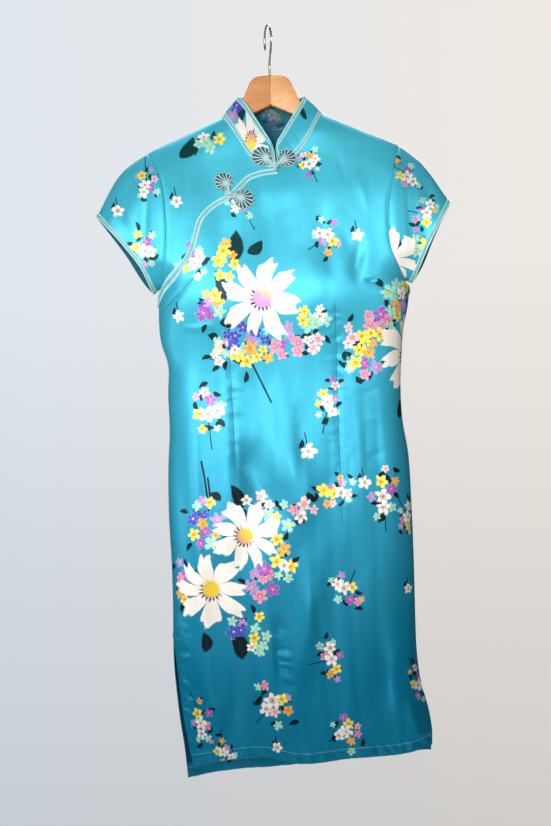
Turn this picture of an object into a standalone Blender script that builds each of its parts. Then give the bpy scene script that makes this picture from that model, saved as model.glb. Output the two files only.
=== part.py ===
"""A short-sleeved satin cheongsam that hangs on a wooden hanger with a wire hook.

The object's frame is in metres: +X to the viewer's right, +Y away from the viewer and +Z up. Its origin
is the inside of the hook's crown, where the hook sits on a rail. Sizes in this file are in millimetres,
and left and right are the viewer's.

Each cloth piece is drawn flat, as seen from the front, and then stood off the garment's middle plane by
the form's half depth, which grows from nothing at the silhouette to the full depth inside it.
"""

import math

import bmesh
import bpy
import numpy as np
from mathutils import Matrix, Vector
from mathutils.geometry import delaunay_2d_cdt

MM = 0.001
SIDES = ("left", "right")
OUTWARD = {"left": -1.0, "right": 1.0}
FRONT, BACK = -1.0, 1.0

# Cloth, and the small distances between pieces.
CLOTH = 1.2
COLLAR_WALL = 1.5
SEAM = 0.3
COLLAR_SEAM = 0.7
TRIM_RISE = 1.3
HEM_DEPTH = 22.0
HEM_STEP = 1.2
STEP = 22.0

# How the cloth turns at the silhouette, and where rows of points follow that turn.
ROUNDING = 48.0
TURN_ROWS = (1.6, 9.0, 18.0, 32.0)
RELIEF_FADE = 30.0
SLIT_TOP = -905.0
SLIT_HALF_GAP = 10.0
SLIT_FLATTENS_OVER = 120.0
SLIT_OPENS_OVER = 180.0
# Sleeves are slimmer than the body, from this distance beside the middle.
SLEEVE_FROM = 165.0
SLEEVE_FADE = 50.0
SLEEVE_SLIMNESS = 0.25
# Below this depth the middle plane leaves the line of the hanger's arms, and it hangs plumb lower down.
PLUMB_FROM = 250.0
PLUMB_FADE = 250.0
NAPE_ROUNDING = 25.0

# Widths of the piping.
OPENING_TRIM = 9.0
COLLAR_EDGE_TRIM = 7.0
COLLAR_BASE_TRIM = 6.5
CUFF_TRIM = 7.0

# Corners of the silhouette, each (x, z).
NECK_POINT = {"left": (-74.8, -133.8), "right": (74.6, -137.0)}
SHOULDER_POINT = {"left": (-189.0, -184.3), "right": (185.7, -193.8)}
SLEEVE_TOP = {"left": (-222.2, -205.5), "right": (209.8, -213.6)}
CUFF_TOP = {"left": (-269.0, -274.7), "right": (256.5, -281.9)}
CUFF_UNDER = {"left": (-192.4, -391.6), "right": (196.0, -396.0)}
ARMPIT = {"left": (-180.0, -384.0), "right": (184.0, -392.0)}
CENTRE_FRONT = (2.7, -217.9)
HEM_CORNER = {
    (FRONT, "left"): (-172.0, -1096.0),
    (BACK, "left"): (-182.0, -1120.0),
    (FRONT, "right"): (186.0, -1086.0),
    (BACK, "right"): (186.0, -1098.0),
}


def table(columns, *rows):
    """A short table as one array for each named column."""
    return dict(zip(columns.split(), np.array(rows, float).T))


def points_of(rows, across="x"):
    return list(zip(rows[across], rows["z"]))


# The side seams, from just below the armpits to the top of the slits, and the slits' edges below.
SIDE_SEAMS = table(
    "z left right",
    (-402, -184, 189.5),
    (-421, -185, 188),
    (-466, -183.5, 178),
    (-500, -176.5, 173.8),
    (-540, -179, 170),
    (-600, -180, 169.5),
    (-646, -184.5, 175),
    (-720, -188, 176),
    (-800, -188, 175),
    (-870, -190, 173),
    (SLIT_TOP, -192, 172),
)
SLIT_EDGES = table(
    "z front_left back_left right",
    (-945, -189, -193, 171.5),
    (-991, -185.7, -191.5, 174.8),
    (-1037, -181, -188.5, 184.5),
    (-1066, -176.7, -185.5, 187.2),
)
# Lines of the cut. Necklines run from the neck point to the centre, armholes from the shoulder point.
NECKLINE_LEFT = table("x z", (-62.8, -153.4), (-48.7, -178.9), (-31.9, -203.7), (-12.1, -214.9))
NECKLINE_RIGHT = table("x z", (63, -156.9), (54.3, -172.2), (34.3, -197.8), (16, -213.9))
NECKLINE_BACK = table("x z", (-52, -144), (0, -151), (52, -146))
ARMHOLE_LEFT = table(
    "x z",
    (-175.5, -205.5),
    (-167.9, -233.1),
    (-165.1, -265.1),
    (-165.3, -308.1),
    (-169.7, -341.5),
    (-175, -370.5),
)
ARMHOLE_RIGHT = table(
    "x z",
    (177.8, -214),
    (169.1, -247.5),
    (161.5, -281),
    (160.8, -315),
    (163.8, -348.8),
    (174, -374),
)
BACK_ARMHOLE_DEPTH = 0.85
OPENING = table(
    "x z",
    (-20.1, -219.9),
    (-43.4, -227.4),
    (-56.8, -239.4),
    (-75.8, -255.5),
    (-91.2, -262.5),
    (-104.4, -271.9),
    (-118.1, -287.4),
    (-125.6, -306.9),
    (-130.9, -324.5),
    (-139.6, -341.9),
    (-153.4, -356.9),
    (-171.0, -374.0),
)
OPENING_BELOW_ARMPIT = 8.0
OVERLAP_ROWS = (0.0, OPENING_TRIM, 18.0, 28.0)
LIFT_FADE = 42.0
CUFF_FRONT = {
    "left": table("x z", (-230, -321.5), (-205, -359)),
    "right": table("x z", (231.6, -324), (210.5, -364)),
}
CUFF_BACK = {
    "left": table("x z", (-231, -331), (-201.5, -381)),
    "right": table("x z", (231, -333), (209, -378)),
}
HEM_FRONT = table("x z", (-122, -1087), (-65, -1086), (-20, -1098), (67, -1095), (136, -1093))
HEM_BACK = table("x z", (-100, -1115), (0, -1112), (100, -1106))

# Half depth of the garment in front of and behind its middle plane.
DEPTHS = table(
    "z front back",
    (-100, 21, 21),
    (-190, 24, 21),
    (-260, 34, 26),
    (-400, 42, 26),
    (-540, 32, 20),
    (-700, 36, 30),
    (-900, 34, 28),
    (-1125, 30, 26),
)
BUSTS = table("x z spread height", (-75, -400, 45, 10), (70, -405, 45, 10))
# Folds that stand out or sink in, from their top ends to their bottom ends.
FOLDS = {
    FRONT: table(
        "x0 z0 x1 z1 width height",
        (61, -264, 77, -397, 10, -3),
        (111, -322, 115, -407, 9, -4),
        (-105, -160, -120, -330, 26, -2),
        (-44, -600, -49, -760, 25, -6),
        (8, -600, 0, -780, 25, 5),
        (28, -790, -3, -1000, 20, 5),
        (-33, -860, -30, -1010, 8, -3),
        (-150, -900, -140, -1085, 20, 4),
        (115, -860, 112, -1060, 25, -5),
        (165, -1000, 158, -1092, 14, 5),
        (-215, -205, -222, -300, 7, -3),
        (197, -205, 187, -270, 7, -3),
        (217, -220, 229, -300, 7, -3),
    ),
    BACK: table(
        "x0 z0 x1 z1 width height",
        (-30, -170, -22, -330, 18, 3),
        (42, -180, 50, -360, 18, -3),
        (-100, -620, -110, -1110, 24, 6),
        (-20, -560, -10, -900, 22, -5),
        (60, -700, 75, -1105, 24, 6),
        (-215, -205, -222, -300, 7, -3),
        (207, -215, 212, -300, 7, -3),
    ),
}
NARROW_FOLD = 12.0
# Darts are stitched grooves.
DARTS = {
    FRONT: table(
        "x0 z0 x1 z1",
        (-181, -423, -127, -375),
        (184, -424, 120, -390),
        (-83, -440, -83, -670),
        (76, -425, 69, -745),
    ),
    BACK: table("x0 z0 x1 z1", (-80, -430, -84, -700), (80, -432, 76, -705)),
}
DART_HALF_WIDTH = 5.0
DART_DEPTH = 1.4
# The stand-up collar's top edge on each side of the centre front, and its end corners.
COLLAR_TOP_FRONT = {
    "left": table("x y z", (-12.6, -22.5, -160.8), (-25.8, -20, -137.6), (-38.1, -16, -116.8)),
    "right": table("x y z", (16.3, -22.5, -158.8), (28.3, -20, -140.6), (40.2, -16, -123.9)),
}
COLLAR_TOP_SIDE = {"left": (-47.6, -8.0, -103.7), "right": (48.3, -8.0, -109.1)}
COLLAR_TOP_BACK = table("x y z", (-40, 9, -104.5), (0, 17.5, -111.5), (41, 9, -109))
COLLAR_TOP_CENTRE = (0.0, -24.0, -182.5)
COLLAR_CORNER = 11.0
COLLAR_BULGE = 1.5
COLLAR_HALF_GAP = 0.8
COLLAR_HEIGHT = 37.0
COLLAR_ROWS = (0.0, 3.3, COLLAR_BASE_TRIM, 18.0, COLLAR_HEIGHT - COLLAR_EDGE_TRIM, 33.5, COLLAR_HEIGHT)

# The hanger: two beech arms that bend forward from a wire hook.
ARM_THICKNESS = 10.0
ARM_EDGE = 3.2
ARM_BEND = math.radians(5)
HANGER_TILT = math.radians(1.6)
HANGER_HUB_Z = -73.0
ARM_TOP = table("r z", (18, -74.2), (24, -76.5), (29, -81.5), (41, -107), (47, -118), (58, -133.2))
ARM_SLOPE = math.tan(math.radians(25.5))
ARM_TOP_START = -106.2
ARM_NOTCH_Z = -118.6
ARM_UNDER_SLOPE = 0.46
ARM_LENGTH = 188.0
ARM_TIP_RADIUS = 7.0
WIRE = 3.6
HOOK_RADIUS = 20.0
HOOK_TURN = math.radians(13)
# The shank, then its bend, as (distance beside the shank, z), and the crown's first and last angles.
SHANK = [(0, -90), (0, -78), (0, -66)]
SHANK_BEND = [(0, -62), (3.4, -53), (10.5, -43.5), (16.7, -34.0)]
CROWN_ARC = (-36, 205)
CROWN_POINTS = 22
BORE = 4.2
BORE_DEPTH = 18.5
BORE_HEADROOM = 20.0

# Frogs: flowers of gathered cord, with the hub near a ball knot, and the loop round the knot.
FLOWER_PETALS = 18
FLOWER_RINGS = table("share rise", (0.28, 3.0), (0.62, 2.6), (1.0, 1.6))
FLOWER_CROWN = 3.1
FLOWER_GROOVE = 0.7
FLOWER_SCALLOP = 0.12
BALL = 9.0
BALL_SEGMENTS = 14
BALL_RINGS = 9
LOOP_WIRE = 3.0
LOOP_POINTS = 13
FROGS = {
    "neck_frog": {
        "ball": (-0.5, -216.6),
        "loop": (150, 38),
        "flowers": table(
            "x z radius hub_x hub_z", (-19.5, -199.4, 15.4, -11, -203), (18.2, -204.1, 14, 12, -207)
        ),
    },
    "chest_frog": {
        "ball": (-69.5, -253.5),
        "loop": (140, 300),
        "flowers": table(
            "x z radius hub_x hub_z", (-77.5, -234, 14.2, -72, -239), (-48.8, -262.5, 15.4, -55, -259)
        ),
    },
}

MATERIALS = {
    "printed_satin": ((0.03, 0.42, 0.58), 0.32, 0.0),
    "aqua_piping": ((0.42, 0.72, 0.72), 0.4, 0.0),
    "frog_cord": ((0.38, 0.62, 0.62), 0.45, 0.0),
    "light_beech": ((0.82, 0.5, 0.2), 0.5, 0.0),
    "dark_beech": ((0.7, 0.36, 0.14), 0.5, 0.0),
    "hook_steel": ((0.62, 0.6, 0.56), 0.28, 1.0),
}


def clear_scene():
    for obj in list(bpy.data.objects):
        bpy.data.objects.remove(obj, do_unlink=True)


def new_collection(name):
    collection = bpy.data.collections.new(name)
    bpy.context.scene.collection.children.link(collection)
    return collection


def make_material(name):
    colour, roughness, metallic = MATERIALS[name]
    material = bpy.data.materials.new(name)
    material.use_nodes = True
    shader = material.node_tree.nodes["Principled BSDF"]
    shader.inputs["Base Color"].default_value = (*colour, 1)
    shader.inputs["Roughness"].default_value = roughness
    shader.inputs["Metallic"].default_value = metallic
    return material


def ease(t):
    """0 below 0, 1 above 1, and a smooth step between."""
    t = np.clip(t, 0.0, 1.0)
    return t * t * (3 - 2 * t)


def smooth(points, per_span=10):
    """A smooth curve through the points, as a dense line. Each span is a cubic whose end slopes are the
    mean of its neighbours' slopes, weighed by their lengths."""
    points = np.asarray(points, float)
    steps = np.diff(points, axis=0)
    length = np.linalg.norm(steps, axis=1)[:, None]
    slope = steps / length
    middle = (slope[:-1] * length[1:] + slope[1:] * length[:-1]) / (length[:-1] + length[1:])
    tangent = np.vstack([slope[:1], middle, slope[-1:]])
    t = np.linspace(0, 1, per_span, endpoint=False)[:, None]
    spans = [
        (2 * t**3 - 3 * t**2 + 1) * points[i]
        + (t**3 - 2 * t**2 + t) * length[i] * tangent[i]
        + (3 * t**2 - 2 * t**3) * points[i + 1]
        + (t**3 - t**2) * length[i] * tangent[i + 1]
        for i in range(len(steps))
    ]
    return np.vstack([*spans, points[-1:]])


def arc_of(line):
    """How far each point is along the line."""
    return np.concatenate([[0], np.cumsum(np.linalg.norm(np.diff(line, axis=0), axis=1))])


def walk(line, distances):
    """The points of a line at these distances from its start."""
    arc = arc_of(line)
    return np.column_stack([np.interp(distances, arc, column) for column in line.T])


def stations(length, step, start=(), end=()):
    """Distances along a line: those asked for near its ends, and even steps between them."""
    first, last = (start[-1] if start else 0.0), length - (end[-1] if end else 0.0)
    even = np.linspace(first, last, max(2, round((last - first) / step) + 1))
    near_start = [0.0, *start[:-1]] if start else []
    near_end = [length - distance for distance in reversed(end[:-1])] + [length] if end else []
    return np.array([*near_start, *even, *near_end])


def ladder(line, step, start=(), end=()):
    return walk(line, stations(arc_of(line)[-1], step, start, end))


def along(rows, column, z):
    """A table's column as a smooth function of height."""
    line = smooth(np.column_stack([-rows["z"], rows[column]]))
    return np.interp(-z, line[:, 0], line[:, 1])


def turned(vectors):
    """Plane vectors turned a quarter turn to the left."""
    return np.column_stack([-vectors[:, 1], vectors[:, 0]])


def unit(vectors):
    return vectors / np.maximum(np.linalg.norm(vectors, axis=-1, keepdims=True), 1e-12)


def corner_normals(line, sign):
    """The left normals of a line at its points, each the mean of its two segments', times the sign."""
    segments = unit(turned(np.diff(line, axis=0))) * sign
    return unit(np.vstack([segments[:1], segments[:-1] + segments[1:], segments[-1:]]))


class Rim:
    """The silhouette lines that the cloth turns round, each with the way inwards at its points."""

    def __init__(self, lines):
        self.lines = [(line, corner_normals(line, sign)) for line, sign in lines]

    def reach(self, points):
        """For each point, its distance from the nearest line and the unit vector inwards there."""
        best = np.full(len(points), np.inf)
        inward = np.zeros((len(points), 2))
        for line, normals in self.lines:
            start, span = line[:-1], np.diff(line, axis=0)
            offset = points[:, None] - start
            t = np.clip((offset * span).sum(-1) / (span**2).sum(-1), 0, 1)
            gap = points[:, None] - (start + t[..., None] * span)
            distance = np.linalg.norm(gap, axis=-1)
            nearest = distance.argmin(axis=1)
            row = np.arange(len(points))
            distance, t, gap = distance[row, nearest], t[row, nearest], gap[row, nearest]
            way = unit(normals[nearest] * (1 - t[:, None]) + normals[nearest + 1] * t[:, None])
            past_end = ((nearest == 0) & (t == 0)) | ((nearest == len(span) - 1) & (t == 1))
            past_end &= distance > 1e-3
            way[past_end] = unit(gap[past_end])
            on_both = (distance < 1e-3) & (best < 1e-3)
            closer = (distance < best) & ~on_both
            best[closer], inward[closer] = distance[closer], way[closer]
            inward[on_both] = unit(inward[on_both] + way[on_both])
        return best, inward


def gap_to(points, line):
    """Each point's distance from a line."""
    return Rim([(line, 1.0)]).reach(points)[0]


class Outlines:
    """Every line where pieces meet or end, as (x, z) points that the neighbours share."""

    def __init__(self):
        self.shoulder, self.sleeve_top, self.under = {}, {}, {}
        self.side, self.edge, self.armhole, self.cuff, self.cuff_inner, self.hem = {}, {}, {}, {}, {}, {}
        for side in SIDES:
            self.draw_side(side)
        self.draw_opening()
        self.draw_side_seams()
        self.neck_left = self.neckline(NECK_POINT["left"], NECKLINE_LEFT)
        self.neck_right = self.neckline(NECK_POINT["right"], NECKLINE_RIGHT)
        back = smooth([NECK_POINT["left"], *points_of(NECKLINE_BACK), NECK_POINT["right"]])
        self.neck_back = ladder(back, 12, TURN_ROWS, TURN_ROWS)
        for face, rows in ((FRONT, HEM_FRONT), (BACK, HEM_BACK)):
            hem = smooth([HEM_CORNER[face, "left"], *points_of(rows), HEM_CORNER[face, "right"]])
            self.hem[face] = ladder(hem, STEP, TURN_ROWS, TURN_ROWS)
        self.rim = {
            face: Rim(
                [
                    pair
                    for side in SIDES
                    for pair in (
                        (np.vstack([self.shoulder[side], self.sleeve_top[side][1:]]), -OUTWARD[side]),
                        (self.under[side], OUTWARD[side]),
                        (np.vstack([self.side[side], self.edge[face, side][1:]]), -OUTWARD[side]),
                    )
                ]
            )
            for face in (FRONT, BACK)
        }

    def neckline(self, neck_point, rows):
        return ladder(smooth([neck_point, *points_of(rows), CENTRE_FRONT]), 11, TURN_ROWS)

    def draw_side(self, side):
        neck, tip = np.array(NECK_POINT[side]), np.array(SHOULDER_POINT[side])
        top = smooth([neck, (neck + tip) / 2, tip, SLEEVE_TOP[side], CUFF_TOP[side]])
        tip_index = np.argmin(np.linalg.norm(top - tip, axis=1))
        self.shoulder[side] = ladder(top[: tip_index + 1], 15)
        sleeve, under = top[tip_index:], np.array([ARMPIT[side], CUFF_UNDER[side]])
        sleeve_stations = stations(arc_of(sleeve)[-1], 17, end=(CUFF_TRIM,))
        self.sleeve_top[side] = walk(sleeve, sleeve_stations)
        fraction = sleeve_stations[:-1] / sleeve_stations[-2]
        under_length = arc_of(under)[-1]
        under_stations = [*(fraction * (under_length - CUFF_TRIM)), under_length]
        self.under[side] = walk(under, under_stations)
        rows = ARMHOLE_LEFT if side == "left" else ARMHOLE_RIGHT
        chord_x = np.interp(-rows["z"], (-tip[1], -ARMPIT[side][1]), (tip[0], ARMPIT[side][0]))
        for face, depth in ((FRONT, 1.0), (BACK, BACK_ARMHOLE_DEPTH)):
            x = chord_x + depth * (rows["x"] - chord_x)
            line = smooth([tip, *zip(x, rows["z"]), ARMPIT[side]])
            self.armhole[face, side] = ladder(line, 18, TURN_ROWS, TURN_ROWS)
        count = len(self.armhole[FRONT, side])
        for face, rows in ((FRONT, CUFF_FRONT[side]), (BACK, CUFF_BACK[side])):
            line = smooth([CUFF_TOP[side], *points_of(rows), CUFF_UNDER[side]])
            even = (arc_of(line)[-1] - 2 * TURN_ROWS[-1]) / (count - 2 * len(TURN_ROWS) - 1)
            cuff = ladder(line, even, TURN_ROWS, TURN_ROWS)
            inner = cuff + CUFF_TRIM * corner_normals(cuff, -OUTWARD[side])
            inner[0], inner[-1] = self.sleeve_top[side][-2], self.under[side][-2]
            self.cuff[face, side], self.cuff_inner[face, side] = cuff, inner

    def draw_opening(self):
        """The S-shaped edge of the front, and the rows beside it that the front and under front share."""
        seam = smooth([ARMPIT["left"], *points_of(SIDE_SEAMS, "left")])
        self.seam_left = seam
        foot = walk(seam, [OPENING_BELOW_ARMPIT])[0]
        self.opening = ladder(smooth([CENTRE_FRONT, *points_of(OPENING), foot]), 12, end=TURN_ROWS)
        arc = arc_of(self.opening)
        square = corner_normals(self.opening, 1.0)
        down = unit(np.diff(walk(seam, [OPENING_BELOW_ARMPIT, OPENING_BELOW_ARMPIT + 40]), axis=0))[0]
        stretch = 1 / (down @ square[-1])
        self.opening_feet = OPENING_BELOW_ARMPIT + stretch * np.array(OVERLAP_ROWS)
        pull = 1 - ease((arc[-1] - arc - TURN_ROWS[-1]) / 60)[:, None]
        self.opening_rows = [
            self.opening + pull * (end - foot) + (1 - pull) * distance * square
            for distance, end in zip(OVERLAP_ROWS, walk(seam, self.opening_feet))
        ]

    def draw_side_seams(self):
        seams = {
            "left": self.seam_left,
            "right": smooth([ARMPIT["right"], *points_of(SIDE_SEAMS, "right")]),
        }
        for side, seam in seams.items():
            start = tuple(self.opening_feet) if side == "left" else (10.0,)
            self.side[side] = ladder(seam, STEP, start)
            for face, columns in ((FRONT, ("front_left", "right")), (BACK, ("back_left", "right"))):
                column = columns[SIDES.index(side)]
                corner = HEM_CORNER[face, side]
                edge = smooth([seam[-1], *points_of(SLIT_EDGES, column), corner])
                self.edge[face, side] = ladder(edge, STEP, end=(HEM_DEPTH, HEM_DEPTH + HEM_STEP))


class Form:
    """The garment's front or back surface over the plane of the silhouette."""

    def __init__(self, face, outlines):
        self.face = face
        self.rim = outlines.rim[face]
        self.column = "front" if face == FRONT else "back"

    def middle(self, x, z):
        """The middle plane follows the hanger's arms forward at the top and hangs plumb lower down."""
        bent = 1 - ease((-z - PLUMB_FROM) / PLUMB_FADE)
        return -math.tan(ARM_BEND) * np.hypot(x, NAPE_ROUNDING) * bent

    def depth(self, x, z):
        slim = 1 - SLEEVE_SLIMNESS * ease((np.abs(x) - SLEEVE_FROM) / SLEEVE_FADE)
        return along(DEPTHS, self.column, z) * slim

    def turn(self, z, s):
        """How much of the depth is reached s inside the silhouette, and its slope: a quarter ellipse on a
        closed side, which eases to a flatter curve on the slits' free edges."""
        t = np.clip(1 - s / ROUNDING, 0, 1)
        free = ease((SLIT_TOP - z) / SLIT_FLATTENS_OVER)
        round_side = np.sqrt(np.maximum(1 - t**2, 1e-12))
        share = (1 - free) * round_side + free * (1 - t**2)
        slope = ((1 - free) * t / np.maximum(round_side, 1e-4) + free * 2 * t) / ROUNDING
        return share, slope

    def edge_gap(self, z):
        return SLIT_HALF_GAP * ease((SLIT_TOP - z) / SLIT_OPENS_OVER)

    def relief(self, x, z):
        """Bust, folds and dart grooves, as heights above the plain form."""
        total = np.zeros_like(x)
        if self.face == FRONT:
            for bust_x, bust_z, spread, height in zip(*BUSTS.values()):
                total += height * np.exp(-((x - bust_x) ** 2 + (z - bust_z) ** 2) / (2 * spread**2))
        for x0, z0, x1, z1, width, height in zip(*FOLDS[self.face].values()):
            t, gap = self.beside(x, z, x0, z0, x1, z1)
            fade = np.sin(np.pi * np.clip(t, 0, 1)) ** 0.6
            total += height * fade * np.exp(-((gap / width) ** 2))
        for x0, z0, x1, z1 in zip(*DARTS[self.face].values()):
            t, gap = self.beside(x, z, x0, z0, x1, z1)
            inside = (t > -0.001) & (t < 1.001)
            total -= DART_DEPTH * inside * np.maximum(0, 1 - np.abs(gap) / DART_HALF_WIDTH)
        return total

    @staticmethod
    def beside(x, z, x0, z0, x1, z1):
        """Where a point is along a straight line, from 0 to 1, and how far beside it."""
        run, rise = x1 - x0, z1 - z0
        length = math.hypot(run, rise)
        t = ((x - x0) * run + (z - z0) * rise) / length**2
        return t, ((z - z0) * run - (x - x0) * rise) / length

    def height(self, x, z, s, seam):
        share = self.turn(z, s)[0]
        edge = self.edge_gap(z)
        bulk = edge + (self.depth(x, z) - edge) * share
        relief = self.relief(x, z) * ease(s / RELIEF_FADE)
        return self.middle(x, z) + self.face * (seam + bulk + relief)

    def place(self, flat, seam=SEAM / 2):
        """The points of the surface over flat (x, z) points, and the unit normals outwards."""
        x, z = flat.T
        s, inward = self.rim.reach(flat)
        s = np.where(s < 1e-3, 0.0, s)
        step = 0.5
        along_x = self.height(x + step, z, s, seam) - self.height(x - step, z, s, seam)
        along_z = self.height(x, z + step, s, seam) - self.height(x, z - step, s, seam)
        steep = self.face * (self.depth(x, z) - self.edge_gap(z)) * self.turn(z, s)[1]
        slope_x = along_x / (2 * step) + steep * inward[:, 0]
        slope_z = along_z / (2 * step) + steep * inward[:, 1]
        normals = unit(self.face * np.column_stack([-slope_x, np.ones(len(x)), -slope_z]))
        return np.column_stack([x, self.height(x, z, s, seam), z]), normals


def inside_loop(points, loop):
    """Whether each point lies inside a closed loop: an upward ray from it crosses the loop an odd number
    of times."""
    start, end = loop, np.roll(loop, -1, axis=0)
    x, z = points[:, :1], points[:, 1:]
    spans = (start[:, 0] > x) != (end[:, 0] > x)
    run = np.where(np.abs(end[:, 0] - start[:, 0]) < 1e-12, 1e-12, end[:, 0] - start[:, 0])
    crossing = start[:, 1] + (x - start[:, 0]) / run * (end[:, 1] - start[:, 1])
    return ((spans & (crossing > z)).sum(axis=1) % 2).astype(bool)


class Drawing:
    """A flat piece: its closed outline, the points sown inside it, and the lines that its faces follow."""

    def __init__(self, loop, rim):
        self.loop, self.rim = loop, rim
        self.points = [*loop]
        self.lines = []

    def sow(self, points, clearance, edge_clearance):
        """Adds the points that keep clear of those already there and of the outline."""
        points = np.asarray(points)
        closed = np.vstack([self.loop, self.loop[:1]])
        kept = points[inside_loop(points, self.loop) & (gap_to(points, closed) > edge_clearance)]
        for point in kept:
            if np.linalg.norm(np.array(self.points) - point, axis=1).min() > clearance:
                self.points.append(point)

    def sow_line(self, line, clearance, edge_clearance):
        """Adds a line of points, and faces keep to it."""
        before = len(self.points)
        self.sow(line, clearance, edge_clearance)
        self.lines += [(i, i + 1) for i in range(before, len(self.points) - 1)]

    def sow_creases(self, face):
        """Points on each dart and narrow fold, and beside it."""
        for x0, z0, x1, z1 in zip(*DARTS[face].values()):
            self.sow_crease((x0, z0), (x1, z1), (0, -DART_HALF_WIDTH, DART_HALF_WIDTH), 22)
        for x0, z0, x1, z1, width, _ in zip(*FOLDS[face].values()):
            if width < NARROW_FOLD:
                self.sow_crease((x0, z0), (x1, z1), (0, -0.8 * width, 0.8 * width), 20)

    def sow_crease(self, start, end, offsets, step):
        line = ladder(np.array([start, end], float), step)
        square = corner_normals(line, 1.0)
        for offset in offsets:
            self.sow_line(line + offset * square, 3.5, 2.0)

    def sow_turn(self):
        """Rows of points inside the silhouette, where the cloth turns."""
        rows = (*TURN_ROWS, ROUNDING)
        before = 0.0
        for row in rows:
            step = row - before
            for line, normals in self.rim.lines:
                candidates = line + row * normals
                true_row = self.rim.reach(candidates)[0] > row - 0.25 * step
                self.sow(candidates[true_row], 0.7 * step, 0.7 * step)
            before = row

    def sow_grid(self):
        low, high = self.loop.min(axis=0), self.loop.max(axis=0)
        z = np.arange(low[1], high[1], STEP)
        x = np.arange(low[0], high[0], STEP)
        grid = np.stack(np.meshgrid(x, z), axis=-1)
        grid[1::2, :, 0] += STEP / 2
        grid = grid.reshape(-1, 2)
        far = self.rim.reach(grid)[0] > ROUNDING + 0.4 * STEP
        self.sow(grid[far], 0.62 * STEP, 0.5 * STEP)

    def triangles(self):
        """Triangles over the piece, as (points, faces)."""
        count = len(self.loop)
        edges = [(i, (i + 1) % count) for i in range(count)] + self.lines
        found = delaunay_2d_cdt([Vector(p) for p in self.points], edges, [list(range(count))], 1, 1e-5)
        source = [ids[0] if ids else None for ids in found[3]]
        points = np.array(
            [self.points[i] if i is not None else tuple(p) for p, i in zip(found[0], source)]
        )
        return points, np.array(found[2])


def strip_faces(rows):
    """Triangles between neighbouring rows of as many points each, as (points, faces)."""
    points = np.vstack(rows)
    count = len(rows[0])
    faces = []
    for row in range(len(rows) - 1):
        for i in range(count - 1):
            a, b = row * count + i, (row + 1) * count + i
            faces += [(a, a + 1, b + 1), (a, b + 1, b)]
    return points, np.array(faces)


def joined(*pieces):
    """Flat pieces made one: points that fall together are shared, and each face turns the same way."""
    offset, points, faces = 0, [], []
    for piece_points, piece_faces in pieces:
        points.append(piece_points)
        faces.append(piece_faces + offset)
        offset += len(piece_points)
    points, faces = np.vstack(points), np.vstack(faces)
    keys = np.round(points / 1e-3).astype(int)
    _, first, index = np.unique(keys, axis=0, return_index=True, return_inverse=True)
    points, faces = points[first], index.reshape(-1)[faces]
    a, b, c = (points[faces[:, i]] for i in range(3))
    area = (b[:, 0] - a[:, 0]) * (c[:, 1] - a[:, 1]) - (b[:, 1] - a[:, 1]) * (c[:, 0] - a[:, 0])
    faces = np.where((area < 0)[:, None], faces[:, ::-1], faces)
    return points, faces[np.abs(area) > 1e-6]


class Workshop:
    """Makes the solids, and keeps their outer faces so that later pieces can be laid on them."""

    def __init__(self, collection):
        self.collection = collection
        self.materials = {name: make_material(name) for name in MATERIALS}
        self.faces = {}

    def add(self, obj, material, angle=35):
        obj.data.materials.clear()
        obj.data.materials.append(self.materials[material])
        if obj.name not in self.collection.objects:
            self.collection.objects.link(obj)
        obj.data.shade_smooth()
        obj.data.set_sharp_from_angle(angle=math.radians(angle))
        return obj

    def wall(self, name, outer, inner, faces, material):
        """A closed wall between an outer and an inner copy of the same faces, shut along its edges."""
        used = np.unique(faces)
        faces = np.searchsorted(used, faces)
        outer, inner = outer[used], inner[used]
        count = len(used)
        forward = {(a, b) for face in faces for a, b in zip(face, np.roll(face, -1))}
        rim = [(a, b) for a, b in forward if (b, a) not in forward]
        shut = [(b, a, a + count) for a, b in rim] + [(b, a + count, b + count) for a, b in rim]
        solid = [*faces.tolist(), *(faces[:, ::-1] + count).tolist(), *sorted(shut)]
        mesh = bpy.data.meshes.new(name)
        mesh.from_pydata((np.vstack([outer, inner]) * MM).tolist(), [], solid)
        mesh.update()
        self.faces[name] = outer[faces]
        return self.add(bpy.data.objects.new(name, mesh), material)

    def cloud(self, names, fine=6):
        """Points all over the outer faces of these pieces."""
        weights = np.array(
            [(i, j, fine - i - j) for i in range(fine + 1) for j in range(fine + 1 - i)], float
        )
        corners = np.vstack([self.faces[name] for name in names])
        return np.einsum("wk,fkc->fwc", weights / fine, corners).reshape(-1, 3)


def lift_at(flat, rows):
    """How far the front stands off the form: fully over the rows where it overlaps the under front, and
    less and less beyond them."""
    overlap = np.vstack(rows)
    border = np.vstack([rows[-1][::-1], *(row[:1] for row in rows[-2::-1])])
    on_overlap = np.linalg.norm(flat[:, None] - overlap, axis=2).min(axis=1) < 1e-2
    beyond = np.where(on_overlap, 0.0, gap_to(flat, border))
    return (CLOTH + SEAM) * (1 - ease(beyond / LIFT_FADE))


def hem_points(hem, distance):
    """Points straight above the hem, but for its two ends, which the slit edges hold."""
    return hem[1:-1] + np.array([0.0, distance])


def make_panel(workshop, name, form, flat, faces, lift=None, hem=None):
    """A cloth panel: its drawing stood on the form, lifted where it overlaps, and doubled at the hem."""
    points, normals = form.place(flat)
    if lift is not None:
        points = points + normals * lift[:, None]
    thickness = np.full(len(flat), CLOTH)
    if hem is not None:
        above = flat[:, 1] - np.interp(flat[:, 0], hem[:, 0], hem[:, 1])
        thickness[above < HEM_DEPTH + HEM_STEP / 2] += CLOTH
    if form.face == BACK:
        faces = faces[:, ::-1]
    workshop.wall(name, points, points - normals * thickness[:, None], faces, "printed_satin")


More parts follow.
